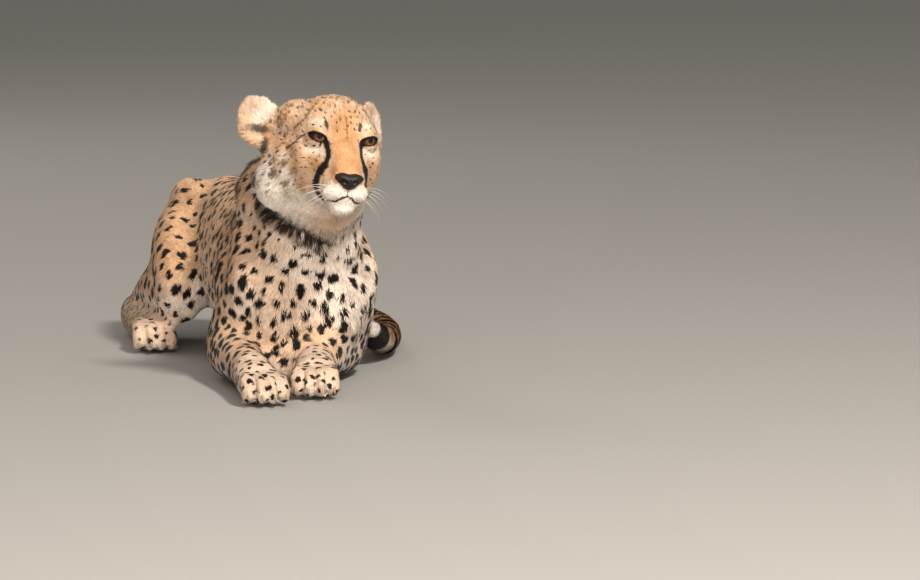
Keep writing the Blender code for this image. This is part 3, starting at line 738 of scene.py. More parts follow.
# the fourth mark is dark brown hair together with painted shade and shadow
markNames = ("golden", "rust", "black", "mane")
toneTable = {    # shares from 0 to 1: how golden each part is, and how far the darker colours cover it; the throat shares paint the chin's shadow and the ear-base share paints shade
    "side": 0.44, "back": 0.44, "chest": 0.60, "leg": 0.12, "paw": 0.25, "face": 0.84, "bridge": 0.95,
    "muzzle": 0.10, "cloud": 0.85, "throat": 0.66, "ear": 0.78, "earHollow": 0.62, "earBaseShade": 0.86,
    "rustBridge": 0.38, "rustBrow": 0.16, "rustCheek": 0.20, "brownCloud": 0.58, "brownCrown": 0.45,
    "brownEar": 0.45, "chinShadowBrown": 0.10}
whitePatches = [((0.040, -0.078, 0.006), (0.017, 0.030, 0.009), 0.62),    # under the eye
                ((0.038, -0.066, 0.043), (0.016, 0.030, 0.007), 0.45),    # over it
                ((0.018, -0.122, -0.054), (0.023, 0.032, 0.011), 0.95)]    # the upper lip
tailMarks = {"ringed": 0.33, "spacing": 0.052, "lastRing": 0.090, "whiteTip": 0.030}    # metres from the tip


def faceTone(points, local, half):
    drift = 0.010 * waves(points, 26, 71) + 0.005 * waves(points, 9, 72)
    warm = toneTable["face"] + 0.09 * waves(points, 30, 73) + 0.07 * waves(points, 7, 77)
    warm *= 1 - 0.95 * step01(-local[:, 2] + 0.5 * drift, 0.044, 0.072)    # white chin and ruff
    warm *= 1 - 0.88 * (step01(local[:, 1] + 0.5 * half[:, 0] + drift, -0.030, 0.016)
                        * step01(-local[:, 2] + 0.5 * drift, -0.006, 0.040))
    for at, radii, white in whitePatches:
        warm *= 1 - white * near(half, at, radii)
    bridge = ((1 - step01(half[:, 0], 0.012, 0.036)) * step01(-local[:, 1], 0.045, 0.075)
              * step01(local[:, 2], -0.044, -0.022))
    warm = np.maximum(np.maximum(warm, toneTable["bridge"] * bridge),
                      toneTable["muzzle"] * step01(-local[:, 1], 0.08, 0.10))
    return warm, bridge


def cheekPatches(points, local, half, isHead):    # brown clouds on the ruff, whose lower edge stays white
    patchy = np.clip(1.5 * waves(points, 17, 80) - 0.20, 0, 1)
    patchy = patchy * np.clip(0.75 + 0.8 * waves(points, 6, 81), 0, 1)
    patchy = patchy * isHead * step01(local[:, 1], -0.040, 0.005) * (1 - step01(-local[:, 2], 0.050, 0.075))
    ripple = 0.12 * waves(points, 6, 82)
    for aside, rise, size in cheekClouds:
        cloud = near(half, (aside, 0.0, rise), (size, 0.060, size * 1.5))
        patchy = np.maximum(patchy, 0.95 * isHead * step01(cloud + ripple, 0.30, 0.75))
    return patchy


def drawnLines(points, local, isHead):    # tear lines, streaks, lips and the bare rims of the lids
    drawn = np.zeros(len(points))
    onHead = isHead > 0.02
    wobble = 0.0004 * waves(points[onHead], 5, 75)
    for lines, width, strength in faceLines:
        for line in lines:
            far = nearPath(points[onHead], line) - wobble
            drawn[onHead] = np.maximum(drawn[onHead], strength * (1 - step01(far, width * 0.65, width * 1.3)))
    for side in signs:
        wide, high, far, ahead = eyeAngles(local, side)[:4]
        border = rimWidth(wide, high)
        rim = (1 - step01(lidGap(wide, high), border, border + 3.0)) * (far < 0.030) * (ahead > 0)
        rim = rim * (1 - step01(-wide, lidShape["halfWide"] - 1.0, lidShape["halfWide"] + 3.0))
        drawn = np.maximum(drawn, rim)
    return drawn * isHead


def earMarks(local, half, normals, muscle):
    earBack = muscle["ear"] * step01(normals[:, 1] + 0.35 * normals[:, 2], 0.05, 0.30)
    # painted shade at the ear's base: dark patches in the hollow under the pale inner hair and between the
    # lower lobe and the head
    earBaseShade = np.maximum(near(half, (0.104, 0.020, 0.029), (0.018, 0.030, 0.0090)),
                         near(half, (0.094, 0.030, 0.007), (0.006, 0.030, 0.013)))
    earBaseShade *= (muscle["ear"] + muscle["head"]).clip(0, 1)
    hollow = np.maximum(near(half, (0.094, 0.030, 0.050), (0.021, 0.060, 0.023)),
                        near(local, (0.068, 0.035, 0.045), (0.016, 0.060, 0.026))) * muscle["ear"]
    return earBack, toneTable["earBaseShade"] * step01(earBaseShade, 0.12, 0.70), hollow


def tailRings(points, tail):
    total = sum(math.dist(a, b) for a, b in zip(tailLine[:-1], tailLine[1:]))
    left = (total - alongTail(points)[0]) * tail    # how far from the tip
    ring = step01(np.sin(left / tailMarks["spacing"] * 2 * math.pi - 0.6), 0.05, 0.40)
    ring = ring * (left > tailMarks["lastRing"]) * (left < tailMarks["ringed"])
    return left, np.maximum(ring, step01(left, 0.016, 0.020) * (1 - step01(left, 0.066, 0.072)))


def markings(points, normals, candidates, muscle):
    local = toHead(points)
    half = mirrored(local)
    isHead = muscle["head"]
    # how golden the coat is: 1 on the back and crown, 0 on the white parts
    golden = toneTable["side"] + toneTable["back"] * step01(normals[:, 2], -0.55, 0.45)
    golden = np.where(normals[:, 2] < -0.2, golden * 0.6, golden)
    chestFront = (step01(-normals[:, 1], 0.10, 0.75) * step01(-points[:, 1], 0.14, 0.26)
                  * (0.45 + 0.55 * step01(points[:, 0], -0.060, 0.020)))
    golden = golden * (1 - toneTable["chest"] * chestFront * (1 - muscle["leg"]))
    golden = golden * (1 - toneTable["leg"] * muscle["leg"]) * (1 - toneTable["paw"] * muscle["paw"])
    warm, bridge = faceTone(points, local, half)
    golden = golden * (1 - isHead) + warm * isHead
    brow = near(half, (0.0, -0.060, 0.055), (0.040, 0.04, 0.028))
    cheek = near(half, (0.055, -0.060, -0.020), (0.022, 0.05, 0.020))
    rust = isHead * np.clip(toneTable["rustBridge"] * bridge + toneTable["rustBrow"] * brow
                            + toneTable["rustCheek"] * cheek, 0, 1)
    patchy = cheekPatches(points, local, half, isHead)
    golden = np.maximum(golden, toneTable["cloud"] * patchy)
    # painted shadow of the chin on the throat: golden-brown, browner, and without spots
    throat = near(points, (-0.008, -0.360, 0.244), (0.046, 0.060, 0.030))
    golden = np.maximum(golden, toneTable["throat"] * throat)
    # black: spots, drawn lines, the backs of the ears, painted shade at the ears' bases and the rings of the
    # tail
    swell = 1 + isHead * (0.35 * step01(local[:, 2], 0.045, 0.075) + 0.55 * step01(local[:, 1], -0.030, 0.010))
    spot = step01(spotShade(points, candidates, swell), 0.25, 0.75)
    faint = step01(-local[:, 2], 0.035, 0.060) * step01(-local[:, 1], 0.03, 0.06)
    smooth = np.maximum(bridge * step01(-local[:, 2], -0.03, -0.01), step01(-local[:, 1], 0.095, 0.105))
    spot = spot * (1 - isHead * np.clip(0.22 + 0.22 * waves(points, 34, 74) + smooth + faint, 0, 1))
    spot = spot * (1 - np.clip(1.1 * throat, 0, 1))
    spot = spot * (1 - 0.75 * isHead * step01(-local[:, 2], 0.040, 0.070))
    black = np.maximum(spot, drawnLines(points, local, isHead))
    earBack, earBaseShade, hollow = earMarks(local, half, normals, muscle)
    black = np.maximum(np.maximum(black * (1 - muscle["ear"]), earBack), earBaseShade)
    golden = golden * (1 - muscle["ear"]) + muscle["ear"] * (toneTable["ear"] - toneTable["earHollow"] * hollow)
    left, ring = tailRings(points, muscle["tail"])
    black = np.where((muscle["tail"] > 0.5) & (left < tailMarks["ringed"]), ring, black)
    golden = np.where((muscle["tail"] > 0.5) & (left < tailMarks["whiteTip"]), 0.02, golden)
    # brown hair between the golden: the right ear's streaks, cheek clouds, crown and mane, with painted shade
    # in the neck's crease and painted shadow of the chin on the throat
    streak = np.clip(waves(points, 7, 78), 0, 1) * np.clip(0.5 + waves(points, 30, 79), 0, 1)
    streak = toneTable["brownEar"] * streak * hollow * (local[:, 0] < 0)
    streak += toneTable["brownCloud"] * patchy
    crown = step01(local[:, 2], 0.062, 0.085)
    streak += isHead * toneTable["brownCrown"] * crown * np.clip(waves(points, 6, 81), 0, 1)
    mane = muscle["mane"] * (1 + 0.35 * waves(points, 12, 76))
    mane = np.clip(mane + streak + toneTable["chinShadowBrown"] * throat, 0, 1)
    return np.stack([golden, rust, black, mane], 1)


bodyShare = {"head": labelWeight("head"), "ear": labelWeight("ear_"), "neck": labelWeight("neck"),
             "leg": labelWeight("forearm", "shank", "fore_paw", "hind_foot"),
             "paw": labelWeight("fore_paw", "hind_foot"), "tail": labelWeight("tail")}
muscle = {key: spread(values, pairs, 3) for key, values in bodyShare.items()}
muscle["head"] = np.clip(muscle["head"], 0, 1)
# dark mane in the neck's crease and along the nape, with painted shade: the crease and the back of the neck are
# darkened as if in shadow
napeLine = [(-0.078, -0.170, 0.334), (-0.095, -0.170, 0.317), (-0.104, -0.170, 0.306),
            (-0.113, -0.170, 0.294), (-0.118, -0.140, 0.275), (-0.120, -0.090, 0.265)]
crestLine = laid([(x, y, z + 0.006) for x, y, z in creaseLine[:-2]])
creaseManeAndShade = np.maximum(1.8 * np.exp(-(nearPath(co, crestLine) / 0.0150) ** 2),
                   1.2 * np.exp(-(nearPath(co, laid(napeLine)) / 0.0230) ** 2))
nape = spread(muscle["neck"], pairs, 45) * step01(out[:, 2], 0.15, 0.65) * step01(out[:, 1], -0.45, 0.1)
nape *= np.exp(-((co[:, 0] + 0.035) / 0.042) ** 2)    # a soft grizzled strip that fades over the shoulders
muscle["mane"] = np.clip(creaseManeAndShade + 0.75 * nape, 0, 1)
marks = markings(co, out, nearSeeds, muscle)
for column, name in enumerate(markNames):
    addLayer(skin, name, marks[:, column])
# painted shade on the skin under the coat, as at the tufts' roots
addLayer(skin, "tip", np.full(len(co), 0.45))
print("skin marked")


# materials of the coat

# the dark brown of the mane also paints the shade in the neck's crease and the chin's shadow on the throat
coatColours = {"white": "#f5ebe0", "golden": "#cd9c6c", "rust": "#c4834c", "black": "#17100c",
               "mane": "#2f2118"}
# lock and patch sizes give random tone; root and tip set the painted shade from each tuft's root to its tip
grainAndRootShade = {"lockMm": 1.613, "patchMm": 23.8, "darkest": 0.66, "palest": 1.28, "root": 0.58, "tip": 1.14}


def coatMaterial(name, roughness, bumpMm):
    # guard hair: matt keratin, sheds light softly, darker and paler hair by hair, with painted shade towards
    # each tuft's root
    material, tree, shader = newMaterial(name, {"Roughness": roughness, "IOR": 1.5, "Specular IOR Level": 0.25,
                                                "Sheen Weight": 0.05, "Sheen Roughness": 0.5})
    read = {key: addNode(tree, "Attribute", {"attribute_name": key}).outputs["Fac"]
            for key in markNames + ("tip",)}
    place = addNode(tree, "TexCoord").outputs["Object"]
    grain = addNode(tree, "TexNoise", {"Scale": 1000 / grainAndRootShade["lockMm"]}, {"Vector": place}).outputs["Fac"]
    patch = addNode(tree, "TexNoise", {"Scale": 1000 / grainAndRootShade["patchMm"], "Detail": 3.0},
                    {"Vector": place}).outputs["Fac"]
    colour = None
    for key in ("golden", "rust", "mane", "black"):
        mix = addNode(tree, "Mix", {"data_type": "RGBA"}, {0: read[key]})
        mix.inputs[7].default_value = linear(coatColours[key])
        if colour is None:
            mix.inputs[6].default_value = linear(coatColours["white"])
        else:
            tree.links.new(colour, mix.inputs[6])
        colour = mix.outputs[2]
    both = addNode(tree, "Math", {"operation": "ADD"}, {0: grain, 1: patch}).outputs[0]
    vary = addNode(tree, "MapRange", {"From Min": 0.6, "From Max": 1.4, "To Min": grainAndRootShade["darkest"],
                                       "To Max": grainAndRootShade["palest"]}, {"Value": both}).outputs["Result"]
    depth = addNode(tree, "MapRange", {"To Min": grainAndRootShade["root"], "To Max": grainAndRootShade["tip"]},
                    {"Value": read["tip"]}).outputs["Result"]    # painted shade: hair darker towards its root, where the tufts shade each other
    span = addNode(tree, "Math", {"operation": "MULTIPLY"}, {0: vary, 1: depth}).outputs[0]
    hair = addNode(tree, "HueSaturation", {"Saturation": 1.0}, {"Value": span, "Color": colour})
    tree.links.new(hair.outputs["Color"], shader.inputs["Base Color"])
    if bumpMm:
        bump = addNode(tree, "Bump", {"Strength": 0.6, "Distance": bumpMm / 1000}, {"Height": grain})
        tree.links.new(bump.outputs["Normal"], shader.inputs["Normal"])
    return material


undercoat = coatMaterial("short_undercoat", 0.85, 0.8)
guardHair = coatMaterial("guard_hair", 0.72, 0.0)


# the skin becomes a piece, with an unwrap of its own

skin.materials.clear()
skin.materials.append(undercoat)
for face in skin.polygons:
    face.use_smooth = True
skinObject = newObject("skin", skin, fleshNodes)
skin.uv_layers.new(name="OFBake")
bpy.context.view_layer.objects.active = skinObject
skinObject.select_set(True)
bpy.ops.object.mode_set(mode="EDIT")
bpy.ops.mesh.select_all(action="SELECT")
bpy.ops.uv.smart_project(angle_limit=math.radians(66), island_margin=0.002)
bpy.ops.object.mode_set(mode="OBJECT")
print("skin unwrapped")


# coat: joined kites, rooted in the skin, lying along it

coatTable = {    # length, width (mm), lift (degrees), tufts to the square centimetre
    "head": (6.4, 1.1, 12, 135), "ear_": (6.5, 1.1, 16, 150), "neck": (13.0, 1.5, 15, 68),
    "chest": (12.0, 1.5, 15, 70), "loins": (9.5, 1.5, 12, 52), "rump": (9.5, 1.6, 12, 48),
    "upper_arm": (9.0, 1.4, 12, 70), "forearm": (6.5, 1.2, 4, 66), "fore_paw": (4.4, 1.05, 4, 96),
    "thigh": (9.0, 1.6, 12, 50), "shank": (7.5, 1.4, 7, 54), "hind_foot": (4.8, 1.2, 5, 70),
    "tail": (9.5, 1.6, 12, 50)}
tuftShape = {"most": 99900, "turn": 9.0, "raise": 0.22, "roll": 0.22,    # how many to a piece, and how unruly
             "sunk": 0.0004, "patch": 0.0015}    # metres under the skin, and half of its patch in the map
coatPieces = {"coat_head": ("head",), "coat_ears": ("ear_",), "coat_neck": ("neck",),
              "coat_chest": ("chest",), "coat_shoulders": ("upper_arm",),
              "coat_forelegs": ("forearm", "fore_paw"), "coat_flanks": ("loins", "thigh"),
              "coat_rump": ("rump",), "coat_hindlegs": ("shank", "hind_foot"), "coat_tail": ("tail",)}


skin.calc_loop_triangles()
corner, loop = (pull(skin.loop_triangles, what, 3, np.int32) for what in ("vertices", "loops"))
area = pull(skin.loop_triangles, "area", 1).ravel()
cornerUV = pull(skin.uv_layers["OFBake"].data, "uv", 2)[loop]
lengthAt, widthAt, liftAt, densityAt = (perLabel({key: row[at] for key, row in coatTable.items()})
                                        for at in range(4))
lengthAt = spread(lengthAt, pairs, 8)
widthAt = spread(widthAt, pairs, 8)
half = mirrored(local)
isHead = muscle["head"]
ruff = isHead * step01(local[:, 1], -0.035, 0.015) * step01(-local[:, 2], 0.005, 0.035)
muzzle = isHead * step01(-local[:, 1], 0.070, 0.100)
eyeNear = isHead * np.exp(-(np.linalg.norm(half - np.array(head["eyeAt"]), axis=1) / 0.026) ** 2)
crown = isHead * step01(local[:, 2], 0.050, 0.080)
lengthAt = lengthAt * (1 + 0.75 * ruff - 0.42 * muzzle + 0.45 * crown) * (1 - 0.50 * eyeNear)
belly = (labelWeight("chest", "loins", "neck") > 0) * step01(-out[:, 2], 0.1, 0.7)
brisket = (labelWeight("chest") > 0) * step01(-co[:, 1], 0.20, 0.28) * step01(0.16 - co[:, 2], 0.0, 0.06)
lengthAt = lengthAt * (1 + 0.35 * belly + 0.45 * brisket + 0.50 * muscle["mane"])
earFront = muscle["ear"] * step01(-out[:, 1], 0.1, 0.5)
lengthAt = lengthAt * (1 + 0.9 * earFront)
liftAt = liftAt * (1 + 0.5 * muscle["mane"] + 0.4 * brisket + 0.45 * ruff + 0.80 * crown - 0.25 * muzzle)
print("coat planned")


def closedEye(points):
    local = toHead(points)
    shut = np.zeros(len(points), bool)
    for side in signs:
        wide, high, far, ahead = eyeAngles(local, side)[:4]
        shut |= (lidGap(wide, high) < rimWidth(wide, high) * 0.8) & (far < 0.030) & (ahead > 0)
    return shut


def blended(values, face, share):    # the skin's values at places inside its triangles
    picked = values[corner[face]]
    return (picked * (share[:, :, None] if picked.ndim == 3 else share)).sum(1)


def scattered(pick, starts):
    chosen = np.array([label.startswith(starts) for label in fleshNodes])[labels[corner[:, 0]]]
    weight = area * densityAt[corner[:, 0]] * 10000 * chosen
    count = min(int(weight.sum()), tuftShape["most"])
    face = pick.choice(len(corner), count, p=weight / weight.sum())
    a, b = pick.random((2, count))
    flip = a + b > 1
    a[flip], b[flip] = 1 - a[flip], 1 - b[flip]
    share = np.stack([1 - a - b, a, b], 1)
    keep = ~closedEye(blended(co, face, share))    # no hair grows over the eye and its bare rim
    return face[keep], share[keep]


def turned(first, second, angle):    # two crossed directions, turned together
    cos, sin = np.cos(angle)[:, None], np.sin(angle)[:, None]
    return first * cos + second * sin, second * cos - first * sin


def kites(name, verts):    # two triangles to a tuft: root, one side, tip, other side
    count = len(verts)
    first = np.arange(count)[:, None] * 4
    mesh = bpy.data.meshes.new(name)
    mesh.vertices.add(count * 4)
    put(mesh.vertices, "co", verts)
    mesh.loops.add(count * 6)
    put(mesh.loops, "vertex_index", np.concatenate([first + (0, 1, 3), first + (3, 1, 2)], 1), np.int32)
    mesh.polygons.add(count * 2)
    put(mesh.polygons, "loop_start", np.arange(0, count * 6, 3), np.int32)
    mesh.update(calc_edges=True)
    put(mesh.polygons, "use_smooth", np.ones(count * 2), bool)
    mesh.materials.append(guardHair)
    return mesh


def makeCoat(name, starts, seed):
    pick = np.random.default_rng(seed)
    face, share = scattered(pick, starts)
    count = len(face)

    def at(values):
        return blended(values, face, share)

    root, normal, flow = at(co), unit(at(out)), at(lie)
    flow = unit(flow - normal * (flow * normal).sum(1)[:, None])
    marks = markings(root + flow * (at(lengthAt) / 1000 * 0.66)[:, None], normal, nearSeeds[corner[face, 0]],
                     {key: at(values) for key, values in muscle.items()})
    turn = 9.0 * waves(root, 22, seed + 1) + 6.0 * waves(root, 9, seed + 2)
    turn = np.radians(turn + pick.normal(0, tuftShape["turn"], count))
    flow, side = turned(flow, np.cross(normal, flow), turn)
    size = at(lengthAt) / 1000 * pick.uniform(0.72, 1.22, count)
    wide = at(widthAt) / 1000 * pick.uniform(0.8, 1.2, count) / 2
    raised = 1 + 0.28 * waves(root, 14, seed + 3) + pick.normal(0, tuftShape["raise"], count)
    lift = np.radians(at(liftAt) * raised.clip(0.25, 2.2))
    across = turned(side, normal, pick.normal(0, tuftShape["roll"], count))[0]
    rise, fall = np.sin(lift), np.sin(lift * 0.45)    # the upper part lies flatter than the root
    lower = flow * (np.cos(lift) * 0.42)[:, None] + normal * (rise * 0.42)[:, None]
    upper = flow * (np.cos(lift * 0.45) * 0.58)[:, None] + normal * (fall * 0.58)[:, None]
    belly = root + lower * size[:, None]
    tip = belly + upper * size[:, None]
    across = across * wide[:, None]
    verts = np.stack([root - normal * tuftShape["sunk"], belly - across, tip, belly + across], 1)
    under = np.minimum(verts[:, :, 2] - 0.0012, 0)    # fur that meets the floor is pressed flat on it
    verts[:, :, 2] += 0.0008 * (np.exp(under / 0.002) - 1) - under
    mesh = kites(name, verts)
    rootUV = (cornerUV[face] * share[:, :, None]).sum(1)
    patch = rootUV[:, None, :] + np.array([(0, -1), (-1, 0), (0, 1), (1, 0)]) * tuftShape["patch"]
    put(mesh.uv_layers.new(name="OFBake").data, "uv", patch[:, (0, 1, 3, 3, 1, 2), :])
    for column, key in enumerate(markNames):
        addLayer(mesh, key, np.repeat(marks[:, column], 4))
    # painted shade along each tuft: 0 at its root, where it is darkest, to 1 at its tip, with a random spread
    addLayer(mesh, "tip", pick.normal(0, 0.22, count)[:, None] + np.array((0.0, 0.55, 1.0, 0.55)))
    soft = unit(np.repeat(normal, 4, 0) + np.repeat(unit(np.cross(flow, unit(across))), 4, 0) * 0.35
                + np.repeat(pick.normal(0, 0.10, (count, 3)), 4, 0))
    newObject(name, mesh)
    mesh.normals_split_custom_set_from_vertices(soft.astype(np.float32))
    print(name, count, "tufts")


for number, (name, starts) in enumerate(coatPieces.items()):
    makeCoat(name, starts, 100 + 10 * number)


# eyes: a wet ball with an amber iris and a round pupil

eyeTable = {"pupil": 0.0034, "iris": 0.0092, "cornea": 0.0007, "gaze": (0.10, -0.28, 0.04), "fibreMm": 1.11,
            "black": "#050404", "inner": "#4a2a12", "amber": "#74441e", "outer": "#3a1d0c", "edge": "#100906"}


def makeEye(side):
    bm = bmesh.new()
    bmesh.ops.create_uvsphere(bm, u_segments=48, v_segments=32, radius=head["eyeRadius"])
    for vert in bm.verts:    # the clear front stands out a little over the iris
        off = math.hypot(vert.co.x, vert.co.y)
        if vert.co.z > 0 and off < eyeTable["iris"] * 1.1:
            vert.co.z += eyeTable["cornea"] * (1 - (off / (eyeTable["iris"] * 1.1)) ** 2)
    look = (headTurn @ (Vector(eyeFrame(side)[2]) * 0.72 + Vector(eyeTable["gaze"]))).normalized()
    place = Matrix.Translation(middle("eye_" + side)) @ look.to_track_quat("Z", "Y").to_matrix().to_4x4()
    bmesh.ops.transform(bm, matrix=place, verts=bm.verts)
    mesh = meshFrom(bm, "eyeball_" + side)
    # cornea and iris: clear wet film over a ringed amber disc, which gives one sharp light in the eye
    material, tree, shader = newMaterial("wet_eye_" + side, {"Roughness": 0.25, "IOR": 1.38, "Coat Weight": 1.0,
                                                             "Coat Roughness": 0.03, "Coat IOR": 1.38})
    point = addNode(tree, "TexCoord").outputs["Object"]
    turned = place.inverted().to_euler()
    moved = addNode(tree, "Mapping", {"vector_type": "POINT", "Rotation": turned,
                                                "Location": place.inverted().translation}, {"Vector": point})
    parts = addNode(tree, "SeparateXYZ", {}, {0: moved.outputs[0]})
    flat = addNode(tree, "CombineXYZ", {}, {0: parts.outputs[0], 1: parts.outputs[1]})
    far = addNode(tree, "VectorMath", {"operation": "LENGTH"}, {0: flat.outputs[0]}).outputs["Value"]
    share = addNode(tree, "Math", {"operation": "DIVIDE", 1: eyeTable["iris"]}, {0: far}).outputs[0]
    ramp = addNode(tree, "ValToRGB", {}, {"Fac": share})
    pupil = eyeTable["pupil"] / eyeTable["iris"]
    stops = [(pupil * 0.93, "black"), (pupil * 1.05, "inner"), (0.60, "amber"), (0.86, "outer"), (1.0, "edge")]
    while len(ramp.color_ramp.elements) < len(stops):
        ramp.color_ramp.elements.new(1.0)
    for element, (at, colour) in zip(ramp.color_ramp.elements, stops):
        element.position, element.color = at, linear(eyeTable[colour])
    fibres = addNode(tree, "TexNoise", {"Scale": 1000 / eyeTable["fibreMm"]},
                     {"Vector": point}).outputs["Fac"]
    fibre = addNode(tree, "MapRange", {"To Min": 0.7, "To Max": 1.35},
                    {"Value": fibres}).outputs["Result"]
    lid = addNode(tree, "MapRange", {"From Min": -0.004, "From Max": 0.0045, "To Min": 1.05,
                                               "To Max": 0.28},
                  {"Value": parts.outputs[1]}).outputs["Result"]    # painted shade of the upper lid: the iris darkens towards its top
    value = addNode(tree, "Math", {"operation": "MULTIPLY"}, {0: fibre, 1: lid}).outputs[0]
    tint = addNode(tree, "HueSaturation", {}, {"Value": value, "Color": ramp.outputs["Color"]})
    tree.links.new(tint.outputs["Color"], shader.inputs["Base Color"])
    mesh.materials.append(material)
    newObject("eyeball_" + side, mesh, ["eye_" + side])


for side in signs:
    makeEye(side)
print("eyes made")


# nose leather

noseTable = {"wide": 0.0222, "high": 0.0124, "deep": 0.0134, "lean": 14.0, "nostril": 0.0052, "cleft": 0.0012,
             "pebbleMm": 1.11, "cloudMm": 8.33, "dark": "#0e0a09", "pale": "#211917"}


def makeNose():
    bm = bmesh.new()
    bmesh.ops.create_icosphere(bm, subdivisions=6, radius=1.0)
    for vert in bm.verts:
        x, y, z = vert.co
        rise = math.copysign(abs(z) ** 0.72, z)    # flat over the top, drawn to a point at the lip
        taper = 0.46 + 0.60 * (0.5 + 0.5 * math.tanh(2.0 * (rise + 0.10)))
        dip = 0.16 * math.exp(-(x / 0.30) ** 2) if z > 0 else 0.0
        vert.co = (x * noseTable["wide"] * taper, y * noseTable["deep"], (rise - dip) * noseTable["high"])
    co = np.array([vert.co[:] for vert in bm.verts])
    half = mirrored(co)
    nostril = [(0.0072, -0.0120, 0.0002), (0.0110, -0.0105, 0.0022), (0.0155, -0.0078, 0.0016),
               (0.0182, -0.0050, -0.0030)]
    cleft = [(0.0, -0.013, 0.004), (0.0, -0.0128, -0.0135)]
    inward = unit(-co * (1, 0.6, 0.2))
    co = co + inward * (noseTable["nostril"] * np.exp(-(nearPath(half, nostril) / 0.0023) ** 2)
                        + noseTable["cleft"] * np.exp(-(nearPath(co, cleft) / 0.0012) ** 2))[:, None]
    for vert, point in zip(bm.verts, co):
        vert.co = point
    lean = Matrix.Rotation(math.radians(noseTable["lean"]), 4, "X")
    place = Matrix.Translation(middle("nose")) @ headTurn.to_4x4() @ lean
    bmesh.ops.transform(bm, matrix=place, verts=bm.verts)
    mesh = meshFrom(bm, "nose_leather")
    # bare nose leather: moist, pebbled skin with a soft shine on its top
    material, tree, shader = newMaterial("nose_leather", {"Roughness": 0.50, "IOR": 1.45})
    point = addNode(tree, "TexCoord").outputs["Object"]
    pebble = addNode(tree, "TexVoronoi", {"Scale": 1000 / noseTable["pebbleMm"]},
                     {"Vector": point}).outputs["Distance"]
    cloud = addNode(tree, "TexNoise", {"Scale": 1000 / noseTable["cloudMm"]}, {"Vector": point}).outputs["Fac"]
    mix = addNode(tree, "Mix", {"data_type": "RGBA"}, {0: cloud})
    mix.inputs[6].default_value = linear(noseTable["dark"])
    mix.inputs[7].default_value = linear(noseTable["pale"])
    tree.links.new(mix.outputs[2], shader.inputs["Base Color"])
    bump = addNode(tree, "Bump", {"Strength": 0.5, "Distance": 0.0005}, {"Height": pebble})
    tree.links.new(bump.outputs["Normal"], shader.inputs["Normal"])
    mesh.materials.append(material)
    newObject("nose_pad", mesh, ["nose"])


makeNose()
print("nose made")


# claws: smooth copies of the cut claws, drawn in a little

clawTable = {"share": (0.62, 0.80, 0.66), "streakMm": 2.0, "tip": "#3b2c22", "root": "#b49c7c"}


def makeClaws():
    names = sorted(name for name in frame["nodes"] if name.startswith("claw_"))
    bm = bmesh.new()
    for name in names:
        one = bpy.data.meshes.new_from_object(frame["nodes"][name])
        place = Matrix.Translation(middle(name))
        one.transform(place @ Matrix.Diagonal((*clawTable["share"], 1)) @ place.inverted())
        bm.from_mesh(one)
        bpy.data.meshes.remove(one)
    bmesh.ops.remove_doubles(bm, verts=bm.verts, dist=0.00001)
    bmesh.ops.subdivide_edges(bm, edges=bm.edges, cuts=2, use_grid_fill=True, smooth=0.6)
    bmesh.ops.smooth_vert(bm, verts=bm.verts, factor=0.5, use_axis_x=True, use_axis_y=True, use_axis_z=True)
    mesh = meshFrom(bm, "claws")
    # claw horn: brown by the floor and paler above, faintly streaked, with a dull polish
    material, tree, shader = newMaterial("claw_horn", {"Roughness": 0.35, "IOR": 1.54})
    point = addNode(tree, "TexCoord").outputs["Object"]
    parts = addNode(tree, "SeparateXYZ", {}, {0: point})
    streak = addNode(tree, "TexNoise", {"Scale": 1000 / clawTable["streakMm"]},
                     {"Vector": point}).outputs["Fac"]
    rise = addNode(tree, "MapRange", {"From Min": 0.008, "From Max": 0.020},
                   {"Value": parts.outputs[2]}).outputs["Result"]
    lift = addNode(tree, "Math", {"operation": "MULTIPLY_ADD", 1: 0.4}, {0: streak, 2: rise}).outputs[0]
    ramp = addNode(tree, "ValToRGB", {}, {"Fac": lift})
    for element, colour in zip(ramp.color_ramp.elements, ("tip", "root")):
        element.color = linear(clawTable[colour])
    tree.links.new(ramp.outputs["Color"], shader.inputs["Base Color"])
    mesh.materials.append(material)
    newObject("claws", mesh, names)


makeClaws()


# whiskers: stiff white bristles in three rows, sweeping back and down, and three over each eye

whiskerTable = {"thick": 0.00032, "rows": 3, "each": 3, "long": 0.056, "short": 0.030, "browThick": 0.0003,
                "brow": 0.026, "sunk": 0.001, "toneMm": 16.7, "pale": "#fbf8f2", "dull": "#e8dfd0"}


def bristle(bm, root, heading, sag, length, thick):
    steps, rings = 9, []
    side = heading.cross(Vector((0, 0, 1))).normalized()
    point, at = Vector(root), heading.normalized()
    for step in range(steps + 1):
        share = step / steps
        width = thick * (1 - 0.92 * share)
        top = side.cross(at).normalized()
        rings.append([bm.verts.new(point + side * (width * math.cos(turn)) + top * (width * math.sin(turn)))
                      for turn in (0.0, 2.1, 4.2)])
        point = point + at * (length / steps)
        at = (at + sag / steps).normalized()
    for low, high in zip(rings[:-1], rings[1:]):
        for corner in range(3):
            bm.faces.new((low[corner], low[(corner + 1) % 3], high[(corner + 1) % 3], high[corner]))
    bm.faces.new(rings[0][::-1])
    bm.faces.new(rings[-1])


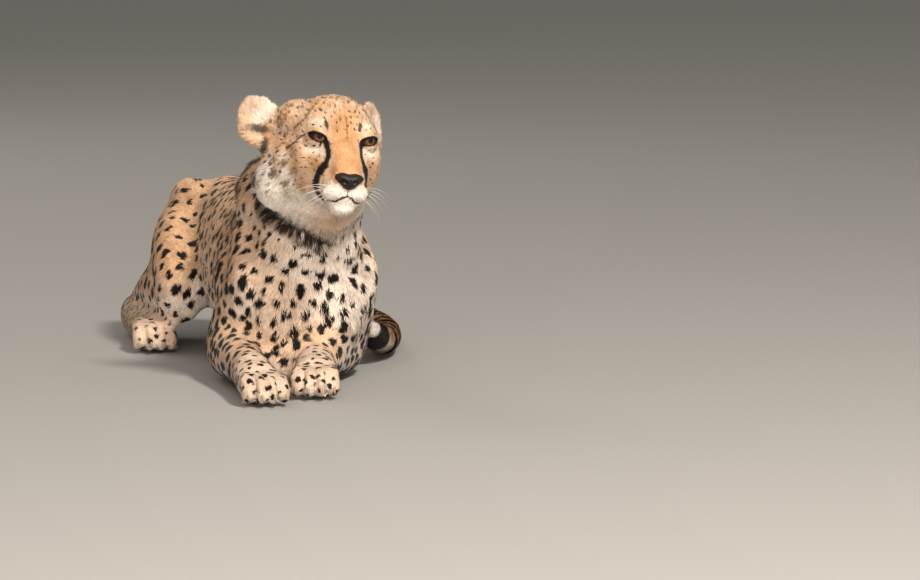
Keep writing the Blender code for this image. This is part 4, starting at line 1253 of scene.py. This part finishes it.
def makeWhiskers():
    pick = np.random.default_rng(7)
    bm = bmesh.new()
    for sign in (-1, 1):    # right, then left
        for row in range(whiskerTable["rows"]):
            for number in range(whiskerTable["each"]):
                share = number / (whiskerTable["each"] - 1)
                at = Vector((sign * (0.0175 + 0.0115 * share), -0.127 + 0.024 * share,
                             -0.0465 - 0.0048 * row - 0.002 * share))
                hit = skinTree.find_nearest(Vector(fromHead(at)))
                heading = Vector((sign * (0.75 + 0.15 * share), -0.25 + 0.55 * share,
                                  0.10 - 0.20 * row + pick.normal(0, 0.08)))
                sag = Vector((sign * -0.15, 0.55, -0.85 - 0.15 * row))
                reach = (0.35 + 0.65 * share) * pick.uniform(0.75, 1.1)
                length = whiskerTable["short"] + (whiskerTable["long"] - whiskerTable["short"]) * reach
                root = hit[0] - hit[1] * whiskerTable["sunk"]
                bristle(bm, root, headTurn @ heading, headTurn @ sag, length, whiskerTable["thick"])
        for number in range(whiskerTable["each"]):    # over the eye
            at = Vector((sign * (0.030 + 0.006 * number), -0.070, 0.050))
            hit = skinTree.find_nearest(Vector(fromHead(at)))
            heading = Vector((sign * 0.5, -0.5, 0.75 + pick.normal(0, 0.1)))
            sag = Vector((sign * 0.3, 0.9, -0.2))
            root = hit[0] - hit[1] * whiskerTable["sunk"]
            bristle(bm, root, headTurn @ heading, headTurn @ sag, whiskerTable["brow"],
                    whiskerTable["browThick"])
    mesh = meshFrom(bm, "whiskers")
    # whisker bristle: dense white keratin, smooth enough to catch the lamp
    material, tree, shader = newMaterial("whisker_bristle", {"Roughness": 0.4, "IOR": 1.55})
    point = addNode(tree, "TexCoord").outputs["Object"]
    tone = addNode(tree, "TexNoise", {"Scale": 1000 / whiskerTable["toneMm"]}, {"Vector": point}).outputs["Fac"]
    mix = addNode(tree, "Mix", {"data_type": "RGBA"}, {0: tone})
    mix.inputs[6].default_value = linear(whiskerTable["pale"])
    mix.inputs[7].default_value = linear(whiskerTable["dull"])
    tree.links.new(mix.outputs[2], shader.inputs["Base Color"])
    mesh.materials.append(material)
    newObject("whiskers", mesh)


makeWhiskers()
print("claws and whiskers made")
